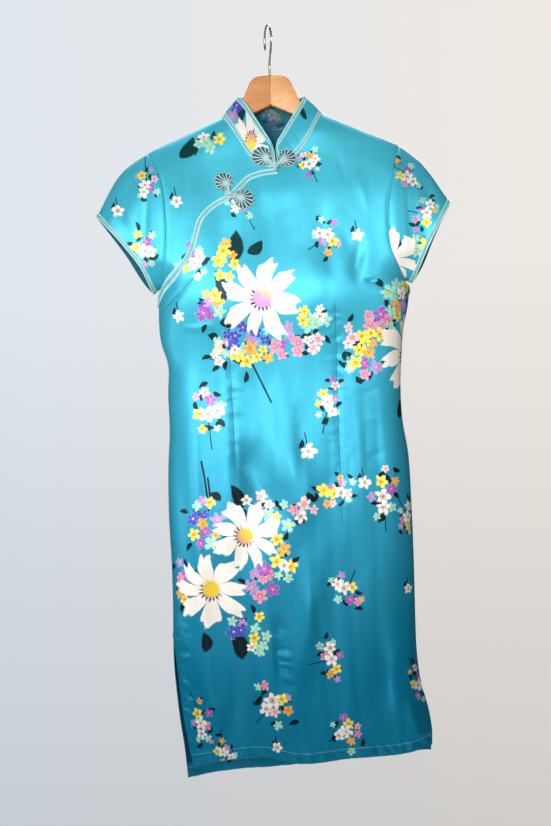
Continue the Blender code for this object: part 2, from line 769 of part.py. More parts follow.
def lower_loop(outlines, face):
    """The outline of a panel's lower part: left side down, the hem, and right side up to the armpit."""
    return [
        *outlines.edge[face, "left"][1:],
        *outlines.hem[face][1:-1],
        *outlines.edge[face, "right"][::-1],
        *outlines.side["right"][:-1][::-1],
    ]


def sow_body(drawing, outlines, face):
    for distance in (HEM_DEPTH, HEM_DEPTH + HEM_STEP):
        drawing.sow_line(hem_points(outlines.hem[face], distance), 0.9, 1.0)
    drawing.sow_creases(face)
    drawing.sow_turn()
    drawing.sow_grid()
    return drawing.triangles()


def make_back(workshop, form, outlines):
    loop = [
        *outlines.neck_back[::-1],
        *outlines.shoulder["left"][1:],
        *outlines.armhole[BACK, "left"][1:],
        *outlines.side["left"][1:],
        *lower_loop(outlines, BACK),
        *outlines.armhole[BACK, "right"][::-1][1:],
        *outlines.shoulder["right"][::-1][1:-1],
    ]
    drawing = Drawing(np.array(loop), outlines.rim[BACK])
    flat, faces = joined(sow_body(drawing, outlines, BACK))
    make_panel(workshop, "back", form, flat, faces, hem=outlines.hem[BACK])


def make_front(workshop, form, outlines):
    rows = outlines.opening_rows
    feet = len(OVERLAP_ROWS)
    loop = [
        *rows[-1],
        *outlines.side["left"][feet + 1 :],
        *lower_loop(outlines, FRONT),
        *outlines.armhole[FRONT, "right"][::-1][1:],
        *outlines.shoulder["right"][::-1][1:],
        *outlines.neck_right[1:],
        *(row[0] for row in rows[1:-1]),
    ]
    drawing = Drawing(np.array(loop), outlines.rim[FRONT])
    flat, faces = joined(sow_body(drawing, outlines, FRONT), strip_faces(rows))
    lift = lift_at(flat, rows)
    make_panel(workshop, "front", form, flat, faces, lift, outlines.hem[FRONT])


def make_under_front(workshop, form, outlines):
    loop = [
        *outlines.neck_left[::-1],
        *outlines.shoulder["left"][1:],
        *outlines.armhole[FRONT, "left"][1:],
        *outlines.opening[::-1][:-1],
    ]
    drawing = Drawing(np.array(loop), outlines.rim[FRONT])
    drawing.sow_turn()
    drawing.sow_grid()
    flat, faces = joined(drawing.triangles(), strip_faces(outlines.opening_rows))
    make_panel(workshop, "under_front", form, flat, faces)


def sleeve_sheet(outlines, face, side):
    """Rows of flat points from the armhole to the cuff, each from the sleeve's top line to its under line.
    Inside its four edges the sheet blends each pair of facing edges and takes off the corners' share."""
    armhole, cuff = outlines.armhole[face, side], outlines.cuff_inner[face, side]
    top, under = outlines.sleeve_top[side][:-1], outlines.under[side][:-1]
    u = (arc_of(armhole) / arc_of(armhole)[-1])[None, :, None]
    v = (arc_of(top) / arc_of(top)[-1])[:, None, None]
    across = (1 - v) * armhole[None] + v * cuff[None]
    down = (1 - u) * top[:, None] + u * under[:, None]
    corners = (1 - v) * ((1 - u) * armhole[0] + u * armhole[-1]) + v * ((1 - u) * cuff[0] + u * cuff[-1])
    rows = [*(across + down - corners), outlines.cuff[face, side]]
    shift = SEAM * corner_normals(armhole, OUTWARD[side])
    shift[0] = SEAM * unit(top[1] - top[0])
    shift[-1] = SEAM * unit(under[1] - under[0])
    rows[0] = armhole + shift
    rows[0][0], rows[0][-1] = top[0] + shift[0], under[0] + shift[-1]
    return rows


def make_sleeve(workshop, forms, outlines, side):
    """A tube whose front and back halves share their points along the top line and the under line."""
    halves = []
    for face in (FRONT, BACK):
        rows = sleeve_sheet(outlines, face, side)
        flat = np.vstack(rows)
        points, normals = forms[face].place(flat, seam=0.0)
        halves.append((points.reshape(len(rows), -1, 3), normals.reshape(len(rows), -1, 3)))
    (front, front_normals), (back, back_normals) = halves
    ring = np.concatenate([front, back[:, -2:0:-1]], axis=1)
    normals = np.concatenate([front_normals, back_normals[:, -2:0:-1]], axis=1)
    last = front.shape[1] - 1
    for column in (0, last):
        normals[:, column] = unit(front_normals[:, column] + back_normals[:, column])
    rows, count = ring.shape[:2]
    faces = grid_faces(rows, count, closed=True, flip=side == "left")
    outer, inner = ring.reshape(-1, 3), (ring - CLOTH * normals).reshape(-1, 3)
    workshop.wall(f"sleeve_{side}", outer, inner, faces, "printed_satin")
    trim = [ring[-2:], normals[-2:]]
    lay_trim(workshop, f"cuff_trim_{side}", *trim, closed=True, flip=side == "left")


def grid_faces(rows, count, closed=False, flip=False):
    """Two triangles for each cell of a grid of points. Closed joins its last column to the first."""
    row, column = np.meshgrid(np.arange(rows - 1), np.arange(count if closed else count - 1), indexing="ij")
    a = (row * count + column).ravel()
    b = (row * count + (column + 1) % count).ravel()
    faces = np.vstack([np.column_stack([a, b, b + count]), np.column_stack([a, b + count, a + count])])
    return faces[:, ::-1] if flip else faces


def lay_trim(workshop, name, edge_rows, edge_normals, closed=False, flip=False):
    """A strip of piping over the cloth between two rows of its points, a seam's gap above the cloth."""
    bottom = (edge_rows + SEAM * edge_normals).reshape(-1, 3)
    top = (edge_rows + (SEAM + TRIM_RISE) * edge_normals).reshape(-1, 3)
    faces = grid_faces(2, edge_rows.shape[1], closed, flip)
    workshop.wall(name, top, bottom, faces, "aqua_piping")


def make_opening_trim(workshop, form, outlines):
    rows = np.vstack(outlines.opening_rows[:2])
    points, normals = form.place(rows)
    points = points + normals * lift_at(rows, outlines.opening_rows)[:, None]
    shape = (2, -1, 3)
    lay_trim(workshop, "opening_trim", points.reshape(shape), normals.reshape(shape))


def collar_edges(forms, outlines):
    """The collar's base line, the panels' normals there, and its top line, from the left end at the
    centre front round the back of the neck to the right end."""
    base, normals, top = [], [], []
    centre = np.array(COLLAR_TOP_CENTRE)
    for side, neck in (("left", outlines.neck_left), ("right", outlines.neck_right)):
        points, outward = forms[FRONT].place(neck)
        if side == "right":
            points = points + outward * lift_at(neck, outlines.opening_rows)[:, None]
        start = centre + np.array([OUTWARD[side] * COLLAR_HALF_GAP, 0, 0])
        points[-1, 0] += OUTWARD[side] * COLLAR_HALF_GAP
        top_line = smooth([start, *zip(*COLLAR_TOP_FRONT[side].values()), COLLAR_TOP_SIDE[side]])
        share = 1 - arc_of(neck) / arc_of(neck)[-1]
        top_points = walk(top_line, share * arc_of(top_line)[-1])
        order = slice(None, None, -1) if side == "left" else slice(None)
        base.append(points[order])
        normals.append(outward[order])
        top.append(top_points[order])
    points, outward = forms[BACK].place(outlines.neck_back)
    rows = COLLAR_TOP_BACK
    top_line = smooth([COLLAR_TOP_SIDE["left"], *zip(*rows.values()), COLLAR_TOP_SIDE["right"]])
    share = arc_of(outlines.neck_back) / arc_of(outlines.neck_back)[-1]
    top_points = walk(top_line, share * arc_of(top_line)[-1])
    base[0][-1, 1] = (base[0][-1, 1] + points[0, 1]) / 2
    base[1][0, 1] = (base[1][0, 1] + points[-1, 1]) / 2
    base.insert(1, points[1:-1])
    normals.insert(1, outward[1:-1])
    top.insert(1, top_points[1:-1])
    return np.vstack(base), np.vstack(normals), np.vstack(top)


def make_collar(workshop, forms, outlines):
    base, panel_normals, top = collar_edges(forms, outlines)
    up = top - base
    base = base + COLLAR_SEAM * unit(up)
    arc = arc_of(base)
    from_end = np.minimum(arc, arc[-1] - arc)
    short = np.clip(COLLAR_CORNER - from_end, 0, COLLAR_CORNER)
    drop = (COLLAR_CORNER - np.sqrt(COLLAR_CORNER**2 - short**2)) / COLLAR_HEIGHT
    share = np.array(COLLAR_ROWS)[:, None, None] / COLLAR_HEIGHT
    grid = base + share * (1 - drop[:, None]) * (top - base)
    around = np.gradient(grid, axis=1)
    rising = np.gradient(grid, axis=0)
    normals = unit(np.cross(around, rising))
    middle = grid.reshape(-1, 3).mean(axis=0)
    if ((grid - middle) * normals).sum() < 0:
        normals = -normals
    grid = grid + COLLAR_BULGE * np.sin(np.pi * share) * normals
    inner = grid - COLLAR_WALL * normals
    inner[0] = grid[0] - CLOTH * panel_normals
    rows, count = grid.shape[:2]
    faces = grid_faces(rows, count)
    corner = grid.reshape(-1, 3)[faces[0]]
    if np.dot(np.cross(corner[1] - corner[0], corner[2] - corner[0]), normals[0, 0]) < 0:
        faces = faces[:, ::-1]
    workshop.wall("collar", grid.reshape(-1, 3), inner.reshape(-1, 3), faces, "printed_satin")
    ends = [np.searchsorted(arc, COLLAR_EDGE_TRIM), count - 1 - np.searchsorted(arc, COLLAR_EDGE_TRIM)]
    edge_mask = np.zeros((rows - 1, count - 1), bool)
    edge_mask[rows - 3 :] = True
    edge_mask[:, : ends[0]] = True
    edge_mask[:, ends[1] :] = True
    base_mask = np.zeros_like(edge_mask)
    base_mask[:2, ends[0] : ends[1]] = True
    for name, mask in (("collar_edge_trim", edge_mask), ("collar_base_trim", base_mask)):
        trim_faces = faces.reshape(2, rows - 1, count - 1, 3)[:, mask].reshape(-1, 3)
        shown = grid.copy()
        if name == "collar_base_trim":
            for end, beside in ((ends[0], ends[0] + 1), (ends[1], ends[1] - 1)):
                run = shown[:, beside] - shown[:, end]
                shown[:, end] += 2 * SEAM * unit(run)
        bottom = shown + SEAM * normals
        top_points = bottom + TRIM_RISE * normals
        workshop.wall(name, top_points.reshape(-1, 3), bottom.reshape(-1, 3), trim_faces, "aqua_piping")


def seat_plane(cloud, x, z, radius):
    """The plane that best follows the cloth under a round piece, moved out until it clears it by a seam's
    gap: its height y at (x, z), its slopes along x and z, and its normal."""
    offset = cloud[:, [0, 2]] - (x, z)
    under = np.linalg.norm(offset, axis=1) < radius + 0.6
    offset, y = offset[under], cloud[under, 1]
    terms = np.column_stack([np.ones(len(y)), offset])
    _, slope_x, slope_z = np.linalg.lstsq(terms, y, rcond=None)[0]
    normal = np.array([slope_x, -1.0, slope_z])
    size = np.linalg.norm(normal)
    height = (y - offset @ (slope_x, slope_z)).min() - SEAM * size
    return height, slope_x, slope_z, normal / size


def make_flower(workshop, name, cloud, x, z, radius, hub_x, hub_z):
    """A flat flower of cord loops: rings of points that run from the hub to the scalloped edge, with a
    ridge along each loop."""
    height, slope_x, slope_z, normal = seat_plane(cloud, x, z, radius)
    angle = np.linspace(0, 2 * np.pi, 2 * FLOWER_PETALS, endpoint=False)
    ridge = np.arange(len(angle)) % 2
    reach = radius * (1 - FLOWER_SCALLOP * ridge)
    rings = []
    for share, rise in zip(*FLOWER_RINGS.values()):
        flat_x = hub_x + share * (x - hub_x + reach * np.cos(angle)) - x
        flat_z = hub_z + share * (z - hub_z + reach * np.sin(angle)) - z
        rings.append((flat_x, flat_z, rise - FLOWER_GROOVE * ridge))
    rings.append((rings[-1][0], rings[-1][1], np.zeros(len(angle))))
    vertices = []
    for flat_x, flat_z, tall in rings:
        base = np.column_stack([x + flat_x, height + slope_x * flat_x + slope_z * flat_z, z + flat_z])
        vertices.append(base + tall[:, None] * normal)
    hub = np.array([hub_x, height + slope_x * (hub_x - x) + slope_z * (hub_z - z), hub_z])
    caps = np.vstack([hub + FLOWER_CROWN * normal, hub])
    count = len(angle)
    faces = grid_faces(len(rings), count, closed=True).tolist()
    crown, foot = len(rings) * count, len(rings) * count + 1
    last = (len(rings) - 1) * count
    for i in range(count):
        j = (i + 1) % count
        faces += [(crown, j, i), (foot, last + i, last + j)]
    mesh = bpy.data.meshes.new(name)
    mesh.from_pydata((np.vstack([*vertices, caps]) * MM).tolist(), [], faces)
    solid = bmesh.new()
    solid.from_mesh(mesh)
    bmesh.ops.recalc_face_normals(solid, faces=solid.faces)
    solid.to_mesh(mesh)
    solid.free()
    workshop.add(bpy.data.objects.new(name, mesh), "frog_cord", 60)


def seat_depth(cloud, x, z, radius):
    """How far forward a ball must be at (x, z) to clear the cloth by a seam's gap."""
    gap = np.linalg.norm(cloud[:, [0, 2]] - (x, z), axis=1)
    near = gap < radius + SEAM
    return (cloud[near, 1] - np.sqrt((radius + SEAM) ** 2 - gap[near] ** 2)).min()


def make_frog(workshop, name, parts, cloud):
    for number, row in enumerate(zip(*parts["flowers"].values())):
        make_flower(workshop, f"{name}_flower_{SIDES[number]}", cloud, *row)
    x, z = parts["ball"]
    y = seat_depth(cloud, x, z, BALL / 2)
    mesh = bpy.data.meshes.new(f"{name}_knot")
    ball = bmesh.new()
    bmesh.ops.create_uvsphere(
        ball, u_segments=BALL_SEGMENTS, v_segments=BALL_RINGS, radius=BALL / 2 * MM
    )
    ball.to_mesh(mesh)
    ball.free()
    knot = workshop.add(bpy.data.objects.new(f"{name}_knot", mesh), "frog_cord", 60)
    knot.location = Vector((x, y, z)) * MM
    radius = (BALL + LOOP_WIRE) / 2 + SEAM
    path = []
    for degrees in np.linspace(*parts["loop"], LOOP_POINTS):
        loop_x = x + radius * math.cos(math.radians(degrees))
        loop_z = z + radius * math.sin(math.radians(degrees))
        path.append((loop_x, min(y, seat_depth(cloud, loop_x, loop_z, LOOP_WIRE / 2)), loop_z))
    workshop.add(wire(f"{name}_loop", path, LOOP_WIRE / 2), "frog_cord", 60)


def wire(name, path, radius):
    """A round wire along a path, as a mesh with its caps welded."""
    curve = bpy.data.curves.new(name, "CURVE")
    curve.dimensions = "3D"
    curve.bevel_depth = radius * MM
    curve.bevel_resolution = 2
    curve.use_fill_caps = True
    spline = curve.splines.new("POLY")
    spline.points.add(len(path) - 1)
    for point, place in zip(spline.points, path):
        point.co = (*(Vector(place) * MM), 1)
    return welded_mesh(name, bpy.data.objects.new(name, curve))


def welded_mesh(name, source):
    """The curve object as a mesh whose caps meet its sides."""
    scene = bpy.context.scene.collection
    scene.objects.link(source)
    graph = bpy.context.evaluated_depsgraph_get()
    mesh = bpy.data.meshes.new_from_object(source.evaluated_get(graph))
    bpy.data.objects.remove(source, do_unlink=True)
    mesh.name = name
    solid = bmesh.new()
    solid.from_mesh(mesh)
    bmesh.ops.remove_doubles(solid, verts=solid.verts, dist=1e-6)
    bmesh.ops.recalc_face_normals(solid, faces=solid.faces)
    solid.to_mesh(mesh)
    solid.free()
    return bpy.data.objects.new(name, mesh)


def arm_outline():
    """An arm's outline, as (distance along the arm, z) points, clockwise from the top of its flat end."""
    tip_x = ARM_LENGTH - ARM_TIP_RADIUS
    tip_z = ARM_TOP_START - ARM_SLOPE * tip_x - ARM_TIP_RADIUS / math.cos(math.atan(ARM_SLOPE))
    top_angle = math.radians(90) - math.atan(ARM_SLOPE)
    angles = np.linspace(top_angle, -math.radians(90) - math.atan(ARM_UNDER_SLOPE), 9)
    tip = [(tip_x + ARM_TIP_RADIUS * math.cos(a), tip_z + ARM_TIP_RADIUS * math.sin(a)) for a in angles]
    return [(0.0, HANGER_HUB_Z), *points_of(ARM_TOP, "r"), *tip, (0.0, ARM_NOTCH_Z)]


def make_arm(workshop, side, bore):
    """One beech arm: its outline extruded, with rounded edges, bent forward and cut flat at the middle."""
    curve = bpy.data.curves.new(f"hanger_arm_{side}", "CURVE")
    curve.dimensions = "2D"
    curve.fill_mode = "BOTH"
    curve.extrude = (ARM_THICKNESS / 2 - ARM_EDGE) * MM
    curve.bevel_depth = ARM_EDGE * MM
    curve.bevel_resolution = 2
    curve.offset = -ARM_EDGE * MM
    outline = arm_outline()
    spline = curve.splines.new("POLY")
    spline.points.add(len(outline) - 1)
    spline.use_cyclic_u = True
    for point, (r, z) in zip(spline.points, outline):
        point.co = (r * MM, z * MM, 0, 1)
    arm = welded_mesh(f"hanger_arm_{side}", bpy.data.objects.new("arm_outline", curve))
    upright = Matrix.Rotation(math.radians(90), 4, "X")
    mirror = Matrix.Scale(OUTWARD[side], 4, (1, 0, 0))
    bend = Matrix.Rotation(-OUTWARD[side] * ARM_BEND, 4, "Z")
    hub = Matrix.Translation((0, 0, HANGER_HUB_Z * MM))
    tilt = hub @ Matrix.Rotation(HANGER_TILT, 4, "Y") @ hub.inverted()
    arm.data.transform(bend @ mirror @ upright)
    flat_end = OUTWARD[side] * SEAM / 2 * MM
    for vertex in arm.data.vertices:
        if abs(vertex.co.x) < (ARM_EDGE + 1.5) * MM:
            vertex.co.x = flat_end
    arm.data.transform(tilt)
    solid = bmesh.new()
    solid.from_mesh(arm.data)
    bmesh.ops.recalc_face_normals(solid, faces=solid.faces)
    solid.to_mesh(arm.data)
    solid.free()
    workshop.add(arm, "dark_beech" if side == "left" else "light_beech")
    cut = arm.modifiers.new("bore", "BOOLEAN")
    cut.operation = "DIFFERENCE"
    cut.object = bore


def make_bore(cutters):
    """The hole that the hook's shank stands in, cut half from each arm."""
    mesh = bpy.data.meshes.new("shank_bore")
    solid = bmesh.new()
    length = BORE_DEPTH + BORE_HEADROOM
    bmesh.ops.create_cone(
        solid, cap_ends=True, segments=16, radius1=BORE / 2 * MM, radius2=BORE / 2 * MM, depth=length * MM
    )
    solid.to_mesh(mesh)
    solid.free()
    bore = bpy.data.objects.new("shank_bore", mesh)
    bore.location = (0, 0, (HANGER_HUB_Z - BORE_DEPTH + length / 2) * MM)
    bore.hide_render = True
    bore.display_type = "WIRE"
    cutters.objects.link(bore)
    return bore


def make_hook(workshop):
    """The wire: a straight shank, a bend out to the side, and a round crown over the rail."""
    radius = HOOK_RADIUS + WIRE / 2
    angle = np.radians(np.linspace(*CROWN_ARC, CROWN_POINTS))
    crown = np.column_stack([radius * np.cos(angle), radius * np.sin(angle) - HOOK_RADIUS])
    beside, z = np.vstack([SHANK, smooth(SHANK_BEND, 3), crown]).T
    path = np.column_stack([beside * math.sin(HOOK_TURN), -beside * math.cos(HOOK_TURN), z])
    workshop.add(wire("hanger_hook", path, WIRE / 2), "hook_steel")


def main():
    clear_scene()
    workshop = Workshop(new_collection("cheongsam_on_hanger"))
    cutters = new_collection("cutters")
    outlines = Outlines()
    forms = {face: Form(face, outlines) for face in (FRONT, BACK)}
    make_back(workshop, forms[BACK], outlines)
    make_front(workshop, forms[FRONT], outlines)
    make_under_front(workshop, forms[FRONT], outlines)
    for side in SIDES:
        make_sleeve(workshop, forms, outlines, side)
    make_opening_trim(workshop, forms[FRONT], outlines)
    make_collar(workshop, forms, outlines)
    covered = ("front", "under_front", "collar", "opening_trim", "collar_edge_trim", "collar_base_trim")
    cloud = workshop.cloud(covered)
    cloud = cloud[(cloud[:, 1] < -5) & (cloud[:, 2] > -320)]
    for name, parts in FROGS.items():
        make_frog(workshop, name, parts, cloud)
    bore = make_bore(cutters)
    for side in SIDES:
        make_arm(workshop, side, bore)
    make_hook(workshop)


main()
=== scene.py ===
import math
import bpy
import numpy as np
from mathutils import Matrix, Vector


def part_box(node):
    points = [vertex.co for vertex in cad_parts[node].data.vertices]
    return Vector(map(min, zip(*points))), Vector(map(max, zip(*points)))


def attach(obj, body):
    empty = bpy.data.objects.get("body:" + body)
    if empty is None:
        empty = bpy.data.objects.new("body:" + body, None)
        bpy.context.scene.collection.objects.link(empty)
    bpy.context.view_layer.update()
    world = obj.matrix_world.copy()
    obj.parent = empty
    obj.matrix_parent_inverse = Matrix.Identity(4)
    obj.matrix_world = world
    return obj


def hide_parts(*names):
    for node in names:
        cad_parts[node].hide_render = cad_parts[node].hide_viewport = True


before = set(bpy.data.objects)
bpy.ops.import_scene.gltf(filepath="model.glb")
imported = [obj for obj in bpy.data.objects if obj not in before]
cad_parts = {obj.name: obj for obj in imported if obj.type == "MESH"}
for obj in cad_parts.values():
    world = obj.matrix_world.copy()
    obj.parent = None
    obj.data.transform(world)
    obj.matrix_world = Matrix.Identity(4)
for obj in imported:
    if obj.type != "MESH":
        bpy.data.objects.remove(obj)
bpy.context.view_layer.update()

# A short-sleeved cheongsam of printed satin on a wooden hanger. Lengths here are millimetres,
# left and right are the viewer's, and every cloth piece is drawn flat as (x, z) before it is
# stood off the garment's middle plane. +X is right, +Y goes from the front to the back.
mm = 0.001
sides = ("left", "right")
outward = {"left": -1.0, "right": 1.0}
front, back = -1.0, 1.0
fullTurn = 2 * math.pi

cloth = dict(thick=1.0, seam=0.04, overlap=1.5, liftFade=42.0, hemDepth=22.0)
form = dict(rounding=48.0, slitTop=-905.0, slitGap=10.0, slitFlattens=120.0, slitOpens=180.0,
            sleeveFrom=165.0, sleeveFade=50.0, sleeveSlim=0.25, bend=math.radians(5),
            plumbFrom=250.0, plumbFade=250.0, napeRound=25.0, reliefFade=30.0,
            seamDip=1.1, seamWide=3.0, seamFade=15.0)
corners = dict(
    neck={"left": (-74.8, -133.8), "right": (74.6, -137.0)},
    shoulder={"left": (-189.0, -184.3), "right": (185.7, -193.8)},
    sleeve={"left": (-222.2, -205.5), "right": (209.8, -213.6)},
    cuffTop={"left": (-269.0, -274.7), "right": (256.5, -281.9)},
    cuffUnder={"left": (-192.4, -391.6), "right": (196.0, -396.0)},
    armpit={"left": (-180.0, -384.0), "right": (184.0, -392.0)},
    centre=(2.7, -217.9),
    hem={(front, "left"): (-172.0, -1096.0), (back, "left"): (-182.0, -1120.0),
         (front, "right"): (186.0, -1086.0), (back, "right"): (186.0, -1098.0)})


# Lines and curves

def ease(t):
    # a smooth step from 0 to 1: three t squared less two t cubed
    t = np.clip(t, 0.0, 1.0)
    return t * t * (3 - 2 * t)


def table(columns, *rows):
    # a short table as one array for each named column
    return dict(zip(columns.split(), np.array(rows, float).T))


def pairs(rows, across="x"):
    # a table's rows as (x, z) points
    return list(zip(rows[across], rows["z"]))


def unit(vectors):
    # each vector over its own length
    return vectors / np.maximum(np.linalg.norm(vectors, axis=-1, keepdims=True), 1e-12)


def smoothLine(points, perSpan=12):
    # cubic spans through the points, each end slope the mean of its neighbours' slopes
    points = np.asarray(points, float)
    steps = np.diff(points, axis=0)
    length = np.linalg.norm(steps, axis=1)[:, None]
    slope = steps / length
    middle = (slope[:-1] * length[1:] + slope[1:] * length[:-1]) / (length[:-1] + length[1:])
    tangent = np.vstack([slope[:1], middle, slope[-1:]])
    t = np.linspace(0, 1, perSpan, endpoint=False)[None, :, None]
    a, b = points[:-1, None], points[1:, None]
    ta, tb = (length * tangent[:-1])[:, None], (length * tangent[1:])[:, None]
    spans = ((2 * t**3 - 3 * t**2 + 1) * a + (t**3 - 2 * t**2 + t) * ta
             + (3 * t**2 - 2 * t**3) * b + (t**3 - t**2) * tb)
    return np.vstack([spans.reshape(-1, points.shape[1]), points[-1:]])


def arcOf(line):
    # each point's distance from the start, the sum of the steps before it
    return np.concatenate([[0], np.cumsum(np.linalg.norm(np.diff(line, axis=0), axis=1))])


def readAt(line, arc, distances):
    # a line's points at these distances, where arc holds the distance of each point it has
    return np.stack([np.interp(distances, arc, column) for column in line.T], axis=-1)


def walk(line, distances):
    # the points of a line at these distances from its start
    return readAt(line, arcOf(line), distances)


def share(line, fractions):
    # the points of a line at these fractions of its length
    return walk(line, np.asarray(fractions) * arcOf(line)[-1])


def evenly(line, step):
    # a line's points again, about this far apart
    return share(line, np.linspace(0, 1, max(2, int(round(arcOf(line)[-1] / step)) + 1)))


def leftOf(line, sign=1.0):
    # the way to the left of a line at each point, the mean of its two segments' ways
    way = np.diff(line, axis=0)
    way = unit(np.column_stack([-way[:, 1], way[:, 0]])) * sign
    return unit(np.vstack([way[:1], way[:-1] + way[1:], way[-1:]]))


def bunched(count, length, start, end):
    # fractions of a length, closer where the cloth turns: a quarter turn over each end zone
    a, b = max(start * 1.3, 1e-9), max(end * 1.3, 1e-9)
    straight = length - start - end
    t = np.linspace(0, a + straight + b, count)
    first = start * (1 - np.cos(np.clip(t / a, 0, 1) * np.pi / 2))
    last = end * (1 - np.cos(np.clip((t[-1] - t) / b, 0, 1) * np.pi / 2))
    return (first + np.clip(t - a, 0, straight) + end - last) / length


# The cut, as tables of (x, z) points along each edge

sideSeams = table("z left right", (-402, -184, 189.5), (-421, -185, 188), (-466, -183.5, 178),
                  (-500, -176.5, 173.8), (-540, -179, 170), (-600, -180, 169.5), (-646, -184.5, 175),
                  (-720, -188, 176), (-800, -188, 175), (-870, -190, 173), (-905, -192, 172))
slitEdges = table("z frontLeft backLeft right", (-945, -189, -193, 171.5),
                  (-991, -185.7, -191.5, 174.8), (-1037, -181, -188.5, 184.5),
                  (-1066, -176.7, -185.5, 187.2))
necklines = dict(
    left=table("x z", (-62.8, -153.4), (-48.7, -178.9), (-31.9, -203.7), (-12.1, -214.9)),
    right=table("x z", (63, -156.9), (54.3, -172.2), (34.3, -197.8), (16, -213.9)),
    back=table("x z", (-52, -144), (0, -151), (52, -146)))
armholes = dict(
    left=table("x z", (-175.5, -205.5), (-167.9, -233.1), (-165.1, -265.1), (-165.3, -308.1),
               (-169.7, -341.5), (-175, -370.5)),
    right=table("x z", (177.8, -214), (169.1, -247.5), (161.5, -281), (160.8, -315),
                (163.8, -348.8), (174, -374)),
    backDepth=0.85)
openingCut = table("x z", (-20.1, -219.9), (-43.4, -227.4), (-56.8, -239.4), (-75.8, -255.5),
                   (-91.2, -262.5), (-104.4, -271.9), (-118.1, -287.4), (-125.6, -306.9),
                   (-130.9, -324.5), (-139.6, -341.9), (-153.4, -356.9), (-171.0, -374.0))
cuffs = {
    (front, "left"): table("x z", (-230, -321.5), (-205, -359)),
    (front, "right"): table("x z", (231.6, -324), (210.5, -364)),
    (back, "left"): table("x z", (-231, -331), (-201.5, -381)),
    (back, "right"): table("x z", (231, -333), (209, -378))}
hems = {
    front: table("x z", (-122, -1087), (-65, -1086), (-20, -1098), (67, -1095), (136, -1093)),
    back: table("x z", (-100, -1115), (0, -1112), (100, -1106))}
openingPlan = dict(footBelow=8.0, trim=9.0, overlap=28.0, pullOver=60.0, pullFrom=32.0)


def drawCut():
    # every line where pieces meet or end, as dense (x, z) lines shared by the neighbours
    cut = {}
    for side in sides:
        neck, tip = np.array(corners["neck"][side]), np.array(corners["shoulder"][side])
        top = smoothLine([neck, (neck + tip) / 2, tip, corners["sleeve"][side],
                          corners["cuffTop"][side]])
        at = np.argmin(np.linalg.norm(top - tip, axis=1))
        cut["shoulder", side], cut["sleeveTop", side] = top[:at + 1], top[at:]
        armpit = corners["armpit"][side]
        cut["under", side] = np.array([armpit, corners["cuffUnder"][side]])
        cut["seam", side] = smoothLine([armpit, *pairs(sideSeams, side)])
        rows = armholes[side]
        chord = np.interp(-rows["z"], (-tip[1], -armpit[1]), (tip[0], armpit[0]))
        for face, depth in ((front, 1.0), (back, armholes["backDepth"])):
            x = chord + depth * (rows["x"] - chord)
            cut["armhole", face, side] = smoothLine([tip, *zip(x, rows["z"]), armpit])
            column = "right" if side == "right" else ("frontLeft" if face == front else "backLeft")
            cut["slit", face, side] = smoothLine(
                [cut["seam", side][-1], *pairs(slitEdges, column), corners["hem"][face, side]])
            cut["cuff", face, side] = smoothLine(
                [corners["cuffTop"][side], *pairs(cuffs[face, side]), corners["cuffUnder"][side]])
        cut["neck", side] = smoothLine([neck, *pairs(necklines[side]), corners["centre"]])
    ends = corners["neck"]
    cut["neckBack"] = smoothLine([ends["left"], *pairs(necklines["back"]), ends["right"]])
    for face in (front, back):
        ends = {side: corners["hem"][face, side] for side in sides}
        cut["hem", face] = smoothLine([ends["left"], *pairs(hems[face]), ends["right"]])
    foot = walk(cut["seam", "left"], [openingPlan["footBelow"]])[0]
    cut["opening"] = evenly(smoothLine([corners["centre"], *pairs(openingCut), foot]), 2.5)
    return cut


cut = drawCut()
rims = {face: [evenly(line, 9) for side in sides for line in (
    np.vstack([cut["shoulder", side], cut["sleeveTop", side][1:]]), cut["under", side],
    np.vstack([cut["seam", side], cut["slit", face, side][1:]]))] for face in (front, back)}


def openingRow(distance):
    # a line beside the opening's edge: square to it along its run, and held by the side seam at its foot
    line, seam = cut["opening"], cut["seam", "left"]
    arc, square = arcOf(line), leftOf(line)
    below = openingPlan["footBelow"]
    down = unit(np.diff(walk(seam, [below, below + 40]), axis=0))[0]
    end = walk(seam, [below + distance / (down @ square[-1])])[0]
    pull = 1 - ease((arc[-1] - arc - openingPlan["pullFrom"]) / openingPlan["pullOver"])[:, None]
    return line + pull * (end - line[-1]) + (1 - pull) * distance * square


def gapTo(points, lines):
    # each point's distance from the nearest of the lines' segments
    best = np.full(len(points), np.inf)
    for line in lines:
        start, span = line[:-1], np.diff(line, axis=0)
        for first in range(0, len(points), 6000):
            some = points[first:first + 6000]
            offset = some[:, None] - start
            t = np.clip((offset * span).sum(-1) / (span**2).sum(-1), 0, 1)
            gap = np.linalg.norm(offset - t[..., None] * span, axis=-1).min(axis=1)
            best[first:first + 6000] = np.minimum(best[first:first + 6000], gap)
    return best


# The form: how the cloth stands off the middle plane

depths = table("z front back", (-100, 21, 21), (-190, 24, 21), (-260, 34, 26), (-400, 42, 26),
               (-540, 32, 20), (-700, 36, 30), (-900, 34, 28), (-1125, 30, 26))
busts = table("x z spread height", (-75, -400, 45, 10), (70, -405, 45, 10))
darts = {
    front: table("x0 z0 x1 z1", (-181, -423, -127, -375), (184, -424, 120, -390),
                 (-83, -440, -83, -670), (76, -425, 69, -745)),
    back: table("x0 z0 x1 z1", (-80, -430, -84, -700), (80, -432, 76, -705))}
dartShape = dict(halfWidth=4.0, depth=1.4, startFade=0.04, endFade=0.12)
foldShape = dict(fade=0.45, sway=0.5, swayTurns=5)
